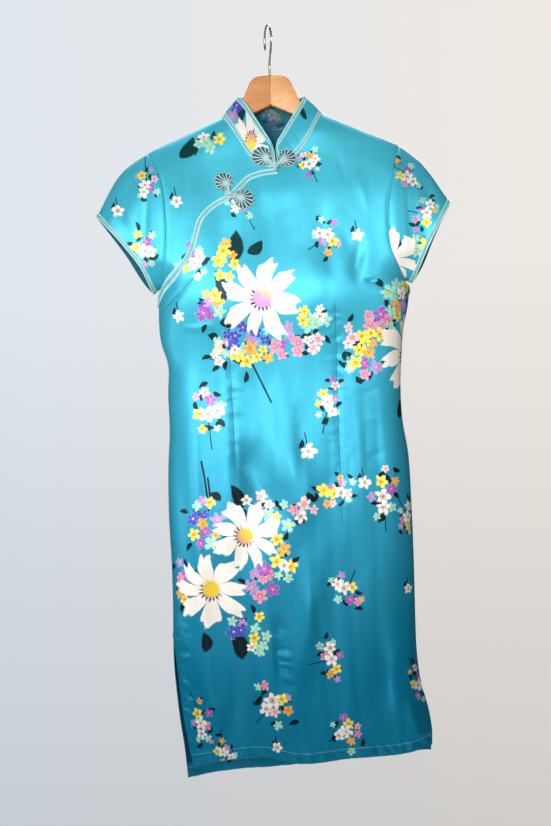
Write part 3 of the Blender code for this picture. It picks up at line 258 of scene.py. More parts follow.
# Folds that stand out or sink in, from their top ends to their bottom ends: the large ones first, as in
# the solids, then the finer creases and puckers of the satin.
folds = {
    front: table(
        "x0 z0 x1 z1 width height",
        (61, -264, 77, -397, 10, -3), (111, -322, 115, -407, 9, -4), (-105, -160, -120, -330, 26, -2),
        (-44, -600, -49, -760, 25, -6), (8, -600, 0, -780, 25, 5), (10, -780, 6, -1010, 17, 6),
        (-33, -860, -30, -1010, 8, -3), (-150, -900, -140, -1085, 20, 4), (115, -860, 112, -1060, 25, -5),
        (165, -1000, 158, -1092, 14, 6), (-215, -205, -222, -300, 7, -3), (197, -205, 187, -270, 7, -3),
        (217, -220, 229, -300, 7, -3)),
    back: table(
        "x0 z0 x1 z1 width height",
        (-30, -170, -22, -330, 18, 3), (42, -180, 50, -360, 18, -3), (-100, -620, -110, -1110, 24, 6),
        (-20, -560, -10, -900, 22, -5), (60, -700, 75, -1105, 24, 6), (-215, -205, -222, -300, 7, -3),
        (207, -215, 212, -300, 7, -3))}
creases = {
    front: table(
        "x0 z0 x1 z1 width height",
        (-66, -300, -78, -420, 7, 1.0), (96, -300, 104, -400, 8, -0.7), (40, -330, 52, -470, 9, 0.9),
        (-150, -440, -96, -452, 5, 0.8), (90, -560, 168, -548, 5, -0.7), (84, -600, 168, -596, 6, 0.8),
        (96, -660, 160, -640, 5, -0.7), (86, -700, 150, -712, 5, 0.7), (10, -800, 18, -960, 8, 1.2),
        (32, -800, 34, -930, 6, 1.2), (-44, -880, -40, -1000, 3, 1.0), (-20, -900, -22, -990, 4, -1.0),
        (-110, -930, -102, -1070, 9, -1.4), (-165, -1000, -150, -1080, 6, 1.6), (60, -930, 66, -1080, 9, 1.2),
        (150, -1010, 174, -1076, 5, 1.6), (130, -900, 140, -1060, 8, 1.2), (-176, -860, -172, -960, 5, 1.3),
        (-160, -470, -168, -640, 7, 0.9), (150, -470, 156, -560, 6, 1.0), (20, -560, 12, -700, 8, -0.9),
        (-130, -200, -146, -290, 6, -0.9), (120, -210, 128, -300, 7, 1.0), (95, -190, 100, -260, 6, -0.8),
        (-205, -225, -214, -330, 4, 1.2), (-236, -240, -250, -300, 5, 1.2), (206, -240, 214, -330, 4, 1.2),
        (236, -250, 246, -310, 5, 1.0), (-190, -230, -196, -340, 4, -1.2), (186, -240, 196, -350, 4, -1.0)),
    back: table(
        "x0 z0 x1 z1 width height",
        (-90, -200, -100, -360, 8, 1.0), (100, -210, 110, -360, 8, -1.0), (0, -260, 4, -420, 7, 0.9),
        (-150, -520, -92, -528, 5, 0.8), (92, -560, 160, -552, 5, 0.8), (20, -640, 26, -860, 8, 1.2),
        (-60, -760, -64, -960, 8, -1.2), (120, -800, 126, -1060, 9, 1.4), (-140, -900, -150, -1090, 8, 1.4),
        (30, -960, 36, -1100, 7, 1.3), (150, -960, 162, -1080, 6, 1.4), (-30, -980, -34, -1100, 6, 1.2),
        (-206, -225, -216, -330, 4, 1.2), (-236, -240, -248, -310, 5, 1.0), (206, -240, 214, -340, 4, 1.2),
        (234, -250, 242, -320, 5, 1.0))}
# Columns of short crinkles, as the cloth was once folded, beside the darts and along the slits.
crinkles = {
    front: table(
        "x0 z0 x1 z1 width height",
        (-36, -870, -20, -1000, 9, 2.2), (-83, -445, -83, -660, 7, 0.8), (76, -430, 69, -735, 7, 0.7),
        (-181, -860, -172, -1080, 13, 3.4), (164, -970, 178, -1085, 13, 3.0),
        (100, -400, 165, -420, 7, 0.7), (-170, -415, -130, -385, 6, 0.7), (100, -548, 168, -560, 9, 0.8),
        (104, -600, 168, -606, 8, 0.6), (-176, -440, -100, -452, 8, 0.6)),
    back: table(
        "x0 z0 x1 z1 width height",
        (20, -840, 24, -1010, 9, 1.0), (-80, -435, -84, -690, 7, 0.8), (80, -435, 76, -695, 7, 0.8),
        (-182, -880, -184, -1090, 12, 2.4), (166, -940, 180, -1080, 12, 2.4))}
crinkleShape = dict(power=0.4, across=13, lean=11, shift=40, tall=7)
# Long waves, soft waves, streaks and fine ones, as width, height of one wave and depth in mm; they are
# shallower where the cloth is stretched over the chest.
ripples = dict(waves=((34, 260, 2.2), (60, 90, 1.4), (9, 150, 0.5), (11, 17, 0.22)), top=420, fade=300,
               tight=0.45)
pucker = dict(hem=1.8, hemAt=10.0, hemWide=9.0, hemWave=2.8, hemLean=5.0, dart=0.4, dartWide=13.0,
              dartWave=3.6, dartPatches=(20, 3, 45), bend=5.0, bendWide=26, bendTall=22, fade=5.0)
latticeSize = 64
lattice = np.random.default_rng(7).uniform(-1, 1, (latticeSize, latticeSize))


def cloudNoise(x, z):
    # values on a seeded square lattice that sines bend, with smooth steps between them
    x, z = x + 0.4 * np.sin(1.9 * z + 0.7), z + 0.4 * np.sin(1.7 * x + 0.3)
    i, j = np.floor(x).astype(int), np.floor(z).astype(int)
    a, b = ease(x - i), ease(z - j)

    def at(p, q):
        # the lattice repeats past its edge
        return lattice[p % latticeSize, q % latticeSize]
    return ((1 - a) * (1 - b) * at(i, j) + a * (1 - b) * at(i + 1, j)
            + (1 - a) * b * at(i, j + 1) + a * b * at(i + 1, j + 1))


def beside(x, z, x0, z0, x1, z1):
    # where a point is along a straight line, from 0 to 1, and how far beside it
    run, rise = x1 - x0, z1 - z0
    length = math.hypot(run, rise)
    return ((x - x0) * run + (z - z0) * rise) / length**2, ((z - z0) * run - (x - x0) * rise) / length


def along(rows, column, z):
    # a column of a table, read at each z on a smooth line through its rows
    line = smoothLine(np.column_stack([-rows["z"], rows[column]]))
    return np.interp(-z, line[:, 0], line[:, 1])


def dartFade(t):
    # one along a dart, easing to nothing at its two ends
    return ease(t / dartShape["startFade"]) * ease((1 - t) / dartShape["endFade"])


def relief(face, x, z):
    # bust, folds, creases, dart grooves and ripples, as heights above the plain form: each is a bell
    # curve of the distance from its line, which a fold's line sways about
    total = np.zeros_like(x)
    if face == front:
        for bx, bz, spread, height in zip(*busts.values()):
            total += height * np.exp(-((x - bx)**2 + (z - bz)**2) / (2 * spread**2))
    for rows in (folds[face], creases[face]):
        for x0, z0, x1, z1, width, height in zip(*rows.values()):
            t, gap = beside(x, z, x0, z0, x1, z1)
            gap = gap + foldShape["sway"] * width * np.sin(foldShape["swayTurns"] * t + x0)
            fade = ease(t / foldShape["fade"]) * ease((1 - t) / foldShape["fade"])
            total += height * fade * np.exp(-(gap / width)**2)
    for row in zip(*darts[face].values()):
        t, gap = beside(x, z, *row)
        total -= dartShape["depth"] * dartFade(t) * np.exp(-(gap / dartShape["halfWidth"])**2)
    slack = ripples["tight"] + (1 - ripples["tight"]) * ease((-z - ripples["top"]) / ripples["fade"])
    for wide, tall, height in ripples["waves"]:
        total += slack * height * cloudNoise(x / wide + 7 * face, z / tall)
    return total


def puckers(face, x, z):
    # short waves where the cloth is sewn or was creased: sines bent by noise at the hem and the darts,
    # and noise down the crinkled columns
    above = z - np.interp(x, cut["hem", face][:, 0], cut["hem", face][:, 1])
    bend = pucker["bend"] * cloudNoise(x / pucker["bendWide"], z / pucker["bendTall"])
    near = np.exp(-((above - pucker["hemAt"]) / pucker["hemWide"])**2)
    wave = np.sin(x / pucker["hemWave"] + above / pucker["hemLean"] + bend)
    total = pucker["hem"] * near * wave
    wide, shift, tall = pucker["dartPatches"]
    for row in zip(*darts[face].values()):
        t, gap = beside(x, z, *row)
        near = dartFade(t) * np.exp(-(gap / pucker["dartWide"])**2)
        patch = 1 + cloudNoise(x / wide + shift, z / tall)
        total += pucker["dart"] * patch * near * np.sin(z / pucker["dartWave"] + bend)
    like = crinkleShape
    for x0, z0, x1, z1, width, height in zip(*crinkles[face].values()):
        t, gap = beside(x, z, x0, z0, x1, z1)
        near = np.sin(np.pi * np.clip(t, 0, 1))**like["power"] * np.exp(-(gap / width)**2)
        noise = cloudNoise(x / like["across"] + z / like["lean"] + like["shift"], z / like["tall"])
        total += height * near * noise
    return total


def stand(face, flat, seam=cloth["seam"]):
    # the height is the middle plane, plus the half depth times a quarter ellipse that starts at the
    # silhouette, plus the relief; slits open by their own gap with a flatter curve
    x, z = flat.T
    s = gapTo(flat, rims[face])
    s = np.where(s < 1e-3, 0.0, s)
    bent = 1 - ease((-z - form["plumbFrom"]) / form["plumbFade"])
    middle = -math.tan(form["bend"]) * np.hypot(x, form["napeRound"]) * bent
    slim = 1 - form["sleeveSlim"] * ease((np.abs(x) - form["sleeveFrom"]) / form["sleeveFade"])
    depth = along(depths, "front" if face == front else "back", z) * slim
    t = np.clip(1 - s / form["rounding"], 0, 1)
    free = ease((form["slitTop"] - z) / form["slitFlattens"])
    turn = (1 - free) * np.sqrt(np.maximum(1 - t**2, 0)) + free * (1 - t**2)
    gap = form["slitGap"] * ease((form["slitTop"] - z) / form["slitOpens"])
    bulk = gap + (depth - gap) * turn + relief(face, x, z) * ease(s / form["reliefFade"])
    bulk += puckers(face, x, z) * ease(s / pucker["fade"])
    sewn = gapTo(flat, [cut["armhole", face, side] for side in sides])
    bulk -= form["seamDip"] * np.exp(-(sewn / form["seamWide"])**2) * ease(s / form["seamFade"])
    return np.column_stack([x, middle + face * (seam + bulk), z])


def standGrid(face, flat, seam=cloth["seam"]):
    # a whole grid of (x, z) points stood on the form
    return stand(face, flat.reshape(-1, 2), seam).reshape(*flat.shape[:2], 3)


# Meshes from grids of points

def gridNormals(grid, outwardY):
    # the cross product of the ways along the grid's rows and columns, on the side that outwardY gives
    normals = unit(np.cross(np.gradient(grid, axis=1), np.gradient(grid, axis=0)))
    return normals * np.sign((normals[..., 1] * outwardY).sum())


def spread(a, b):
    # two arrays as pairs, over the grid that they share
    return np.stack(np.broadcast_arrays(a, b), axis=-1)


def cornersOf(mesh):
    # the number of the point at each corner of each face
    corner = np.empty(len(mesh.loops), dtype=np.int32)
    mesh.loops.foreach_get("vertex_index", corner)
    return corner


def makePiece(name, points, quads, node, materials, uv, used=None):
    # a mesh from whole arrays, in metres, that rides on the root and stands for its CAD node; used
    # holds the number of each face's material
    mesh = bpy.data.meshes.new(name)
    mesh.from_pydata((points.reshape(-1, 3) * mm).tolist(), [], quads)
    mesh.update()
    piece = bpy.data.objects.new(name, mesh)
    bpy.context.scene.collection.objects.link(piece)
    for material in materials:
        mesh.materials.append(material)
    layer = mesh.uv_layers.new(name="across")
    layer.data.foreach_set("uv", uv.reshape(-1, 2)[cornersOf(mesh)].astype(np.float32).ravel())
    mesh.polygons.foreach_set("use_smooth", np.full(len(mesh.polygons), True))
    if used is not None:
        mesh.polygons.foreach_set("material_index", np.array(used, dtype=np.int32))
    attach(piece, "root")
    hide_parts(node)
    return piece


def gridQuads(rows, columns, closed=False, flip=False):
    # a face between each two rows and columns; closed joins the last column to the first
    r, c = np.meshgrid(np.arange(rows - 1), np.arange(columns if closed else columns - 1), indexing="ij")
    a, b = r * columns + c, r * columns + (c + 1) % columns
    quads = np.stack([a, b, b + columns, a + columns], axis=-1).reshape(-1, 4)
    return (quads[:, ::-1] if flip else quads).tolist()


def cappedQuads(rows, columns, flip=False):
    # a tube's faces, and one over each end
    first, last = list(range(columns)), list(range((rows - 1) * columns, rows * columns))
    caps = [first, last[::-1]] if flip else [first[::-1], last]
    return gridQuads(rows, columns, closed=True, flip=flip) + caps


def loopedQuads(rows, columns, flip=False):
    # a tube's faces where its last ring is joined to its first
    quads = np.array(gridQuads(rows + 1, columns, closed=True, flip=flip))
    return (quads % (rows * columns)).tolist()


def facesIn(grid, normal, r, c):
    # whether the face at this row and column turns away from the normal
    here = grid[r, c]
    return np.cross(grid[r, c + 1] - here, grid[r + 1, c] - here) @ normal < 0


def outwardQuads(grid, normals, closed=False):
    # faces whose turn agrees with the normals, tested at the grid's middle
    rows, columns = grid.shape[:2]
    r, c = rows // 2, columns // 2
    return gridQuads(rows, columns, closed, flip=facesIn(grid, normals[r, c], r, c))


def coons(top, bottom, leftSide, rightSide, across, down):
    # a sheet that blends each pair of facing edges and takes off the corners' share
    a, b = across[None, :, None], down[:, None, None]
    ends = (1 - b) * ((1 - a) * top[0] + a * top[-1]) + b * ((1 - a) * bottom[0] + a * bottom[-1])
    return ((1 - b) * top[None] + b * bottom[None]
            + (1 - a) * leftSide[:, None] + a * rightSide[:, None] - ends)


def liftAt(flat):
    # the front lies over the under front beside the opening, and comes down to the form beyond
    edge, border = cut["opening"], openingRow(openingPlan["overlap"])
    strip = np.vstack([edge, border[::-1], edge[:1]])
    x, z = flat[:, :1], flat[:, 1:]
    a, b = strip[:-1], strip[1:]
    run = np.where(np.abs(b[:, 0] - a[:, 0]) < 1e-9, 1e-9, b[:, 0] - a[:, 0])
    hit = ((a[:, 0] > x) != (b[:, 0] > x)) & (a[:, 1] + (x - a[:, 0]) / run * (b[:, 1] - a[:, 1]) > z)
    inside = hit.sum(axis=1) % 2 == 1
    gap = gapTo(flat, [border])
    gap = np.where(inside | (gapTo(flat, [edge]) < 0.05), 0.0, gap)
    return cloth["overlap"] * (1 - ease(gap / cloth["liftFade"]))


# Shader boards

class Signal:
    # a socket that can stand in a sum: each operator adds its Math node
    def __init__(self, board, socket):
        self.board, self.socket = board, socket

    def math(self, operation, *others):
        # one Math node, with this signal first
        return self.board.node("ShaderNodeMath", dict(operation=operation), dict(enumerate((self, *others))))

    def __add__(self, other): return self.math("ADD", other)
    def __radd__(self, other): return self.math("ADD", other)
    def __sub__(self, other): return self.math("SUBTRACT", other)
    def __rsub__(self, other): return self.math("MULTIPLY_ADD", -1.0, other)
    def __mul__(self, other): return self.math("MULTIPLY", other)
    def __rmul__(self, other): return self.math("MULTIPLY", other)
    def __truediv__(self, other): return self.math("DIVIDE", other)
    def __pow__(self, other): return self.math("POWER", other)
    def __abs__(self): return self.math("ABSOLUTE")
    def __lt__(self, other): return self.math("LESS_THAN", other)
    def __gt__(self, other): return self.math("GREATER_THAN", other)

    def clip(self):
        # held between 0 and 1
        return self.board.node("ShaderNodeClamp", {}, {0: self})


class Board:
    # the nodes of one material, or of the world
    def __init__(self, name, world=False, **fixed):
        self.owner = (bpy.data.worlds if world else bpy.data.materials).new(name)
        self.owner.use_nodes = True
        self.tree = self.owner.node_tree
        self.shader = self.tree.nodes["Background" if world else "Principled BSDF"]
        for socket, value in fixed.items():
            self.shader.inputs[socket.replace("_", " ")].default_value = value

    def plug(self, socket, value):
        # a link from a signal, or else the value itself, with an alpha on a colour
        if isinstance(value, Signal):
            self.tree.links.new(value.socket, socket)
        elif isinstance(value, tuple) and len(value) == 3 and socket.type == "RGBA":
            socket.default_value = (*value, 1)
        else:
            socket.default_value = value

    def node(self, kind, settings, sockets, out=0):
        # one node: its settings first, a ramp's stops among them, then its sockets
        made = self.tree.nodes.new(kind)
        for setting, value in settings.items():
            if setting == "stops":
                ramp = made.color_ramp
                while len(ramp.elements) > 1:
                    ramp.elements.remove(ramp.elements[-1])
                for number, (place, colour) in enumerate(value):
                    element = ramp.elements[0] if number == 0 else ramp.elements.new(place)
                    element.position, element.color = place, (*colour, 1)
            elif setting == "interpolation":
                made.color_ramp.interpolation = value
            else:
                setattr(made, setting, value)
        for socket, value in sockets.items():
            self.plug(made.inputs[socket], value)
        return Signal(self, made.outputs[out])

    def blend(self, mask, a, b, kind="MIX"):
        # colour a, with b over it by the mask
        return self.node("ShaderNodeMix", dict(data_type="RGBA", blend_type=kind), {0: mask, 6: a, 7: b}, 2)

    def noise(self, at, scale, detail=2.0, rough=0.5, stretch=None):
        # soft noise about 0.5, finer at a larger scale and drawn out where stretch is under 1
        if stretch is not None:
            at = self.node("ShaderNodeMapping", {}, {"Vector": at, "Scale": stretch})
        sockets = {"Vector": at, "Scale": scale, "Detail": detail, "Roughness": rough}
        return self.node("ShaderNodeTexNoise", {}, sockets)

    def place(self):
        # the point itself, in metres
        return self.node("ShaderNodeTexCoord", {}, {}, out=3)

    def attribute(self, name):
        # a vector that the mesh stores by this name
        return self.node("ShaderNodeAttribute", dict(attribute_name=name), {}, out=1)

    def split(self, vector):
        # a vector's three parts
        first = self.node("ShaderNodeSeparateXYZ", {}, {0: vector})
        outputs = first.socket.node.outputs
        return [Signal(self, outputs[i]) for i in range(3)]

    def bump(self, height, strength, distance):
        # a normal bent by a height of up to this distance
        return self.node("ShaderNodeBump", {}, {"Strength": strength, "Distance": distance, "Height": height})

    def finish(self, **sockets):
        # what feeds the shader, and then the material or world itself
        for socket, value in sockets.items():
            self.plug(self.shader.inputs[socket.replace("_", " ")], value)
        return self.owner


# The print: motifs stamped on the cloth in its own flat frame. Bouquets and sprays are scattered by a
# rule from a seed: drifts of small blooms round large daisies, with leaves and thin stems.

def ink(r, g, b):
    # a colour as it looks, from 0 to 255, made linear
    return tuple(((c / 255 + 0.055) / 1.055)**2.4 if c > 10 else c / 3295 for c in (r, g, b))


# Each bloom's petals, the inner part of its petals, and its eye.
bloomInks = dict(
    white=(ink(250, 246, 238), ink(236, 222, 212), ink(176, 116, 84)),
    yellow=(ink(248, 232, 92), ink(240, 204, 60), ink(186, 128, 34)),
    orange=(ink(242, 172, 66), ink(246, 200, 96), ink(204, 112, 40)),
    mint=(ink(152, 230, 218), ink(206, 238, 176), ink(226, 206, 80)),
    pale=(ink(240, 208, 214), ink(234, 178, 196), ink(222, 172, 92)),
    pink=(ink(236, 152, 184), ink(222, 122, 164), ink(240, 204, 100)),
    lilac=(ink(182, 146, 210), ink(204, 166, 218), ink(232, 184, 112)),
    magenta=(ink(174, 84, 192), ink(198, 114, 202), ink(240, 200, 112)),
    blue=(ink(66, 84, 206), ink(96, 82, 196), ink(232, 190, 110)))
bloomNames = list(bloomInks)
mixes = dict(
    sunny=("yellow", "orange", "yellow"), night=("blue", "lilac", "blue", "mint"),
    rosy=("pink", "lilac", "magenta", "pink"), fresh=("mint", "yellow", "mint", "white"),
    pastel=("pale", "white", "pale", "pink"), bright=("magenta", "yellow", "blue", "orange", "lilac", "mint"))
stampLayers = dict(leaf=3, bloom=4, daisy=2)
scatter = dict(seed=29, tries=14, small=8.0, large=13.5, leaves=4, leafLong=7.5, leafWide=3.6,
               leafOut=11, leafSway=50, margin=3.0)
farOff = np.array([1e4, 1e4])       # a place beyond every motif
unstamped = (9.0, 9.0, 0.0)         # a corner's place in a motif's frame where no motif is
# Bouquets, about their own middles: daisies as x, z, radius, turn and kind; drifts of blooms as mix, x,
# z, half width, half height and count; leaves as x, z, half length, half width and turn; stems by ends.
crown = dict(
    daisies=[(0, 0, 68, 10, 0)],
    drifts=[("sunny", -50, 55, 14, 28, 7), ("bright", -78, -10, 14, 22, 8), ("night", -25, -55, 40, 18, 11),
            ("rosy", 30, -66, 24, 24, 9), ("sunny", -18, -82, 28, 13, 6), ("fresh", 72, -30, 22, 20, 8),
            ("fresh", -55, -68, 16, 14, 4), ("pastel", 70, -62, 12, 16, 3), ("pastel", -70, -72, 8, 18, 3)],
    leaves=[(-35, 78, 26, 11, 80), (-5, 75, 15, 9, 40), (-60, 20, 25, 10, 100), (-45, -30, 20, 10, 20),
            (-42, -90, 14, 6, 160), (-30, -115, 9, 4, 80)],
    stems=[(-22, -92, 5, -155)])
flank = dict(
    daisies=[(0, 0, 66, 30, 1)],
    drifts=[("fresh", -20, 98, 24, 12, 5), ("bright", -15, 72, 24, 14, 6), ("rosy", -58, 58, 18, 14, 5),
            ("sunny", -76, 22, 13, 24, 6), ("pastel", -98, 28, 8, 20, 3), ("rosy", -72, -16, 12, 14, 3),
            ("fresh", -94, -14, 9, 10, 2), ("fresh", -48, 38, 14, 12, 3)],
    leaves=[(-22, -78, 15, 10, 80)], stems=[])
hip = dict(
    daisies=[(25, 40, 58, 0, 1), (-30, -35, 62, 22, 2)],
    drifts=[("bright", -35, 62, 24, 34, 12), ("pastel", 45, 92, 20, 14, 4), ("fresh", 75, 66, 18, 22, 5),
            ("pastel", 112, 72, 18, 12, 4), ("sunny", 152, 92, 12, 14, 3), ("sunny", 70, 16, 12, 18, 4),
            ("fresh", 80, -14, 14, 12, 4), ("rosy", 44, -34, 18, 26, 7), ("night", 6, -92, 12, 14, 4),
            ("fresh", 34, -108, 14, 30, 7), ("rosy", -74, -8, 9, 24, 4), ("sunny", -76, -42, 8, 8, 2)],
    leaves=[(15, 98, 22, 10, 110), (48, 80, 15, 10, 20), (-18, 102, 11, 6, 150), (-42, -112, 15, 9, 95),
            (6, -118, 24, 12, 110), (62, 48, 8, 4, 70), (-10, 30, 14, 7, 60)],
    stems=[(-35, 155, -28, 80), (-28, 130, -25, 92)])


# Each motif's rows: its layer, x, z, half length, half width, turn and kind.

def leafRow(x, z, long, wide, turn, kind=0):
    # a leaf is kind 0
    return [("leaf", x, z, long, wide, turn, kind)]


def stemRow(x0, z0, x1, z1, wide=1.5):
    # a stem is a straight leaf of kind 1 between its two ends
    return leafRow((x0 + x1) / 2, (z0 + z1) / 2, math.hypot(x1 - x0, z1 - z0) / 2, wide,
                   math.degrees(math.atan2(z1 - z0, x1 - x0)), 1)


def daisyRow(x, z, radius, turn, kind):
    # its kind, from 0 to 2, is the colour of its eye
    return [("daisy", x, z, radius, radius, turn, kind)]


def bloomRow(name, x, z, radius):
    # its kind is the number of its colours, and its turn is drawn by lot
    return [("bloom", x, z, radius, radius, dice.uniform(0, 360), bloomNames.index(name))]


def drift(placed, mix, x, z, wide, tall, count):
    # blooms in an ellipse, each the farthest of a few tries from those placed before it, and small
    # leaves between them and at the rim
    rows = []
    for number in range(count):
        angle, way = dice.uniform(0, 2 * np.pi, scatter["tries"]), dice.uniform(0, 1, scatter["tries"])**0.5
        tries = np.column_stack([x + wide * way * np.cos(angle), z + tall * way * np.sin(angle)])
        gaps = np.linalg.norm(tries[:, None] - np.array(placed), axis=-1).min(axis=1)
        placed.append(tries[np.argmax(gaps)])
        rows += bloomRow(mixes[mix][number % len(mixes[mix])], *placed[-1],
                         dice.uniform(scatter["small"], scatter["large"]))
    for angle in dice.uniform(0, 360, scatter["leaves"]):
        c, s, way = math.cos(math.radians(angle)), math.sin(math.radians(angle)), dice.choice((0.5, 1.0))
        rows += leafRow(x + way * (wide + scatter["leafOut"]) * c, z + way * (tall + scatter["leafOut"]) * s,
                        scatter["leafLong"], scatter["leafWide"],
                        angle + dice.uniform(-scatter["leafSway"], scatter["leafSway"]))
    return rows


def bouquet(plan, x, z):
    # the plan's leaves, stems, drifts and daisies, in that order, round this middle
    rows, placed = [], [farOff]
    for px, pz, *sizes in plan["leaves"]:
        rows += leafRow(x + px, z + pz, *sizes)
    for x0, z0, x1, z1 in plan["stems"]:
        rows += stemRow(x + x0, z + z0, x + x1, z + z1)
    for mix, px, pz, *sizes in plan["drifts"]:
        rows += drift(placed, mix, x + px, z + pz, *sizes)
    for px, pz, *sizes in plan["daisies"]:
        rows += daisyRow(x + px, z + pz, *sizes)
    return rows


sprayPlan = dict(lean=(55, 125), step=2.4, far=8.6, long=1.3, aside=0.78, stem=(6, 9), stemMore=15,
                 leafSteps=(1.5, 2.6, 3.5, 4.4, 5.5, 6.6, 8.2), leafLong=(5, 8), leafWide=3.2,
                 odd=("lilac", "pink", "magenta", "orange", "pale"),
                 radii=(12, 8.5, 9.5, 10.5, 7.5, 7, 7.5, 6, 6))


def spray(x, z, size=1.0):
    # blooms on a spiral that is pressed into a leaning ellipse, the white ones on top, with small dark
    # leaves between them and a thin stem
    plan = sprayPlan
    lean, start = math.radians(dice.uniform(*plan["lean"])), dice.uniform(0, 2 * np.pi)
    odd = [str(name) for name in dice.permutation(plan["odd"])]
    names = ["white", odd[0], "yellow", "white", odd[1], odd[2], "mint", odd[3], "mint"]

    def put(step, more=0.0):
        # a place on the spiral, by its step from the middle
        angle, far = start + plan["step"] * step, size * (plan["far"] * math.sqrt(step + 0.25) + more)
        along, aside = plan["long"] * far * math.cos(angle), plan["aside"] * far * math.sin(angle)
        return (x + along * math.cos(lean) - aside * math.sin(lean),
                z + along * math.sin(lean) + aside * math.cos(lean))
    rows = stemRow(x, z, *put(dice.uniform(*plan["stem"]), plan["stemMore"]), 0.8)
    for step in plan["leafSteps"]:
        rows += leafRow(*put(step, dice.uniform(0, 5)), dice.uniform(*plan["leafLong"]) * size,
                        plan["leafWide"] * size, dice.uniform(0, 360))
    for step in reversed(range(len(names))):
        rows += bloomRow(names[step], *put(step + dice.uniform(-0.2, 0.2)), plan["radii"][step] * size)
    return rows


def lone(x, z, size=1.0):
    # one white bloom on a thin stem with a leaf
    return stemRow(x, z + 4, x - 3 * size, z + 22 * size, 0.9) + leafRow(
        x - 7 * size, z + 9 * size, 6 * size, 3 * size, 70) + bloomRow("white", x, z, 11 * size)


def trail(x, z):
    # a thin drift of pale green blooms that ends in a leaf
    return leafRow(x - 32, z - 8, 20, 11, 60) + drift([farOff], "fresh", x, z, 18, 10, 5)


def many(motif, *places):
    # a motif at each of these places
    return [row for place in places for row in motif(*place)]


dice = np.random.default_rng(scatter["seed"])
motifs = dict(
    front_panel=(
        bouquet(crown, -30, -410) + bouquet(flank, 195, -505) + bouquet(hip, -100, -800)
        + many(spray, (50, -210, 0.8), (-55, -265, 0.9), (70, -325), (-130, -350), (-120, -570, 1.2),
               (60, -565), (70, -700, 0.9), (135, -705, 1.2), (170, -745, 0.9), (70, -850), (40, -950),
               (-45, -1010, 1.2), (-155, -1030), (60, -1060), (175, -990, 0.9), (-125, -1075, 0.8))
        + many(lone, (115, -325), (-155, -430), (25, -640, 1.3), (105, -690), (165, -850, 0.8),
               (-45, -1075, 0.8))),
    under_front_panel=many(trail, (-95, -172)) + many(spray, (-130, -350)) + many(lone, (-148, -262)),
    back_panel=(
        bouquet(crown, 30, -350) + bouquet(hip, 60, -770) + bouquet(flank, -35, -560)
        + many(spray, (-120, -230), (130, -420), (-130, -390), (120, -610), (-140, -680, 1.1),
               (-120, -820, 1.1), (-140, -960), (-40, -1010, 1.1), (60, -960), (140, -930, 1.1),
               (30, -1080), (-120, -1070))
        + many(trail, (110, -210)) + many(lone, (130, -520), (-60, -900, 1.2), (110, -1040), (0, -250))),
    # a sleeve's back has its own frame, a metre to the right of its front's
    left_sleeve=(many(spray, (-190, -230, 0.9), (-200, -325), (785, -290))
                 + many(lone, (-235, -270), (800, -350)) + many(trail, (795, -235))),
    right_sleeve=(daisyRow(158, -365, 52, 15, 1)
                  + many(spray, (190, -235, 0.9), (215, -300, 0.9), (1205, -290))
                  + many(trail, (200, -345), (1200, -235))),
    # on the collar it is the way along the base from the viewer's left end, and the height
    standing_collar=(
        many(leafRow, (96, 28, 18, 9, 60), (82, 4, 12, 6, 20), (335, 27, 12, 6, 120), (268, 8, 14, 5, 60))
        + many(bloomRow, ("blue", 112, 26, 14), ("blue", 102, 33, 11), ("lilac", 106, 10, 13))
        + daisyRow(52, 12, 50, 200, 1) + many(spray, (160, 18, 0.9), (215, 18, 0.8))))


def unroll(flat, points, column, row):
    # the cloth's flat frame: each step along a row or column is made as long as it is on the cloth, and
    # the extra lengths are summed from the still column and row
    def extra(flat, points, still):
        # how much longer each row is on the cloth, summed from the still column
        step = np.diff(flat, axis=1)
        drawn = np.maximum(np.linalg.norm(step, axis=-1), 1e-9)
        more = np.linalg.norm(np.diff(points, axis=1), axis=-1) / drawn - 1
        total = np.cumsum(step * more[..., None], axis=1)
        total = np.concatenate([np.zeros_like(flat[:, :1]), total], axis=1)
        return total - total[:, still:still + 1]
    down = extra(flat.swapaxes(0, 1), points.swapaxes(0, 1), row).swapaxes(0, 1)
    return flat + extra(flat, points, column) + down


def calm(points, passes=6):
    # the same sheet with its short puckers averaged away, so that they don't stretch the print
    depth = points[..., 1].copy()
    for _ in range(passes):
        depth[1:-1] = (depth[:-2] + 2 * depth[1:-1] + depth[2:]) / 4
        depth[:, 1:-1] = (depth[:, :-2] + 2 * depth[:, 1:-1] + depth[:, 2:]) / 4
    return np.stack([points[..., 0], depth, points[..., 2]], axis=-1)


def markSewing(name, data):
    # for each point: how far beside the nearest dart it is, its height over the hem, and its way across
    x, z = data["flat"].reshape(-1, 2).T
    face = back if name == "back_panel" else front
    gaps = above = np.full(len(x), 99.0)       # far from any seam
    if name in ("front_panel", "back_panel"):
        for row in zip(*darts[face].values()):
            t, gap = beside(x, z, *row)
            closer = (t > -0.01) & (t < 1.01) & (np.abs(gap) < np.abs(gaps))
            gaps = np.where(closer, gap, gaps)
        above = z - np.interp(x, cut["hem", face][:, 0], cut["hem", face][:, 1])
    attribute = data["piece"].data.attributes.new("sewing", "FLOAT_VECTOR", "POINT")
    attribute.data.foreach_set("vector", np.column_stack([gaps, above, x]).astype(np.float32).ravel())


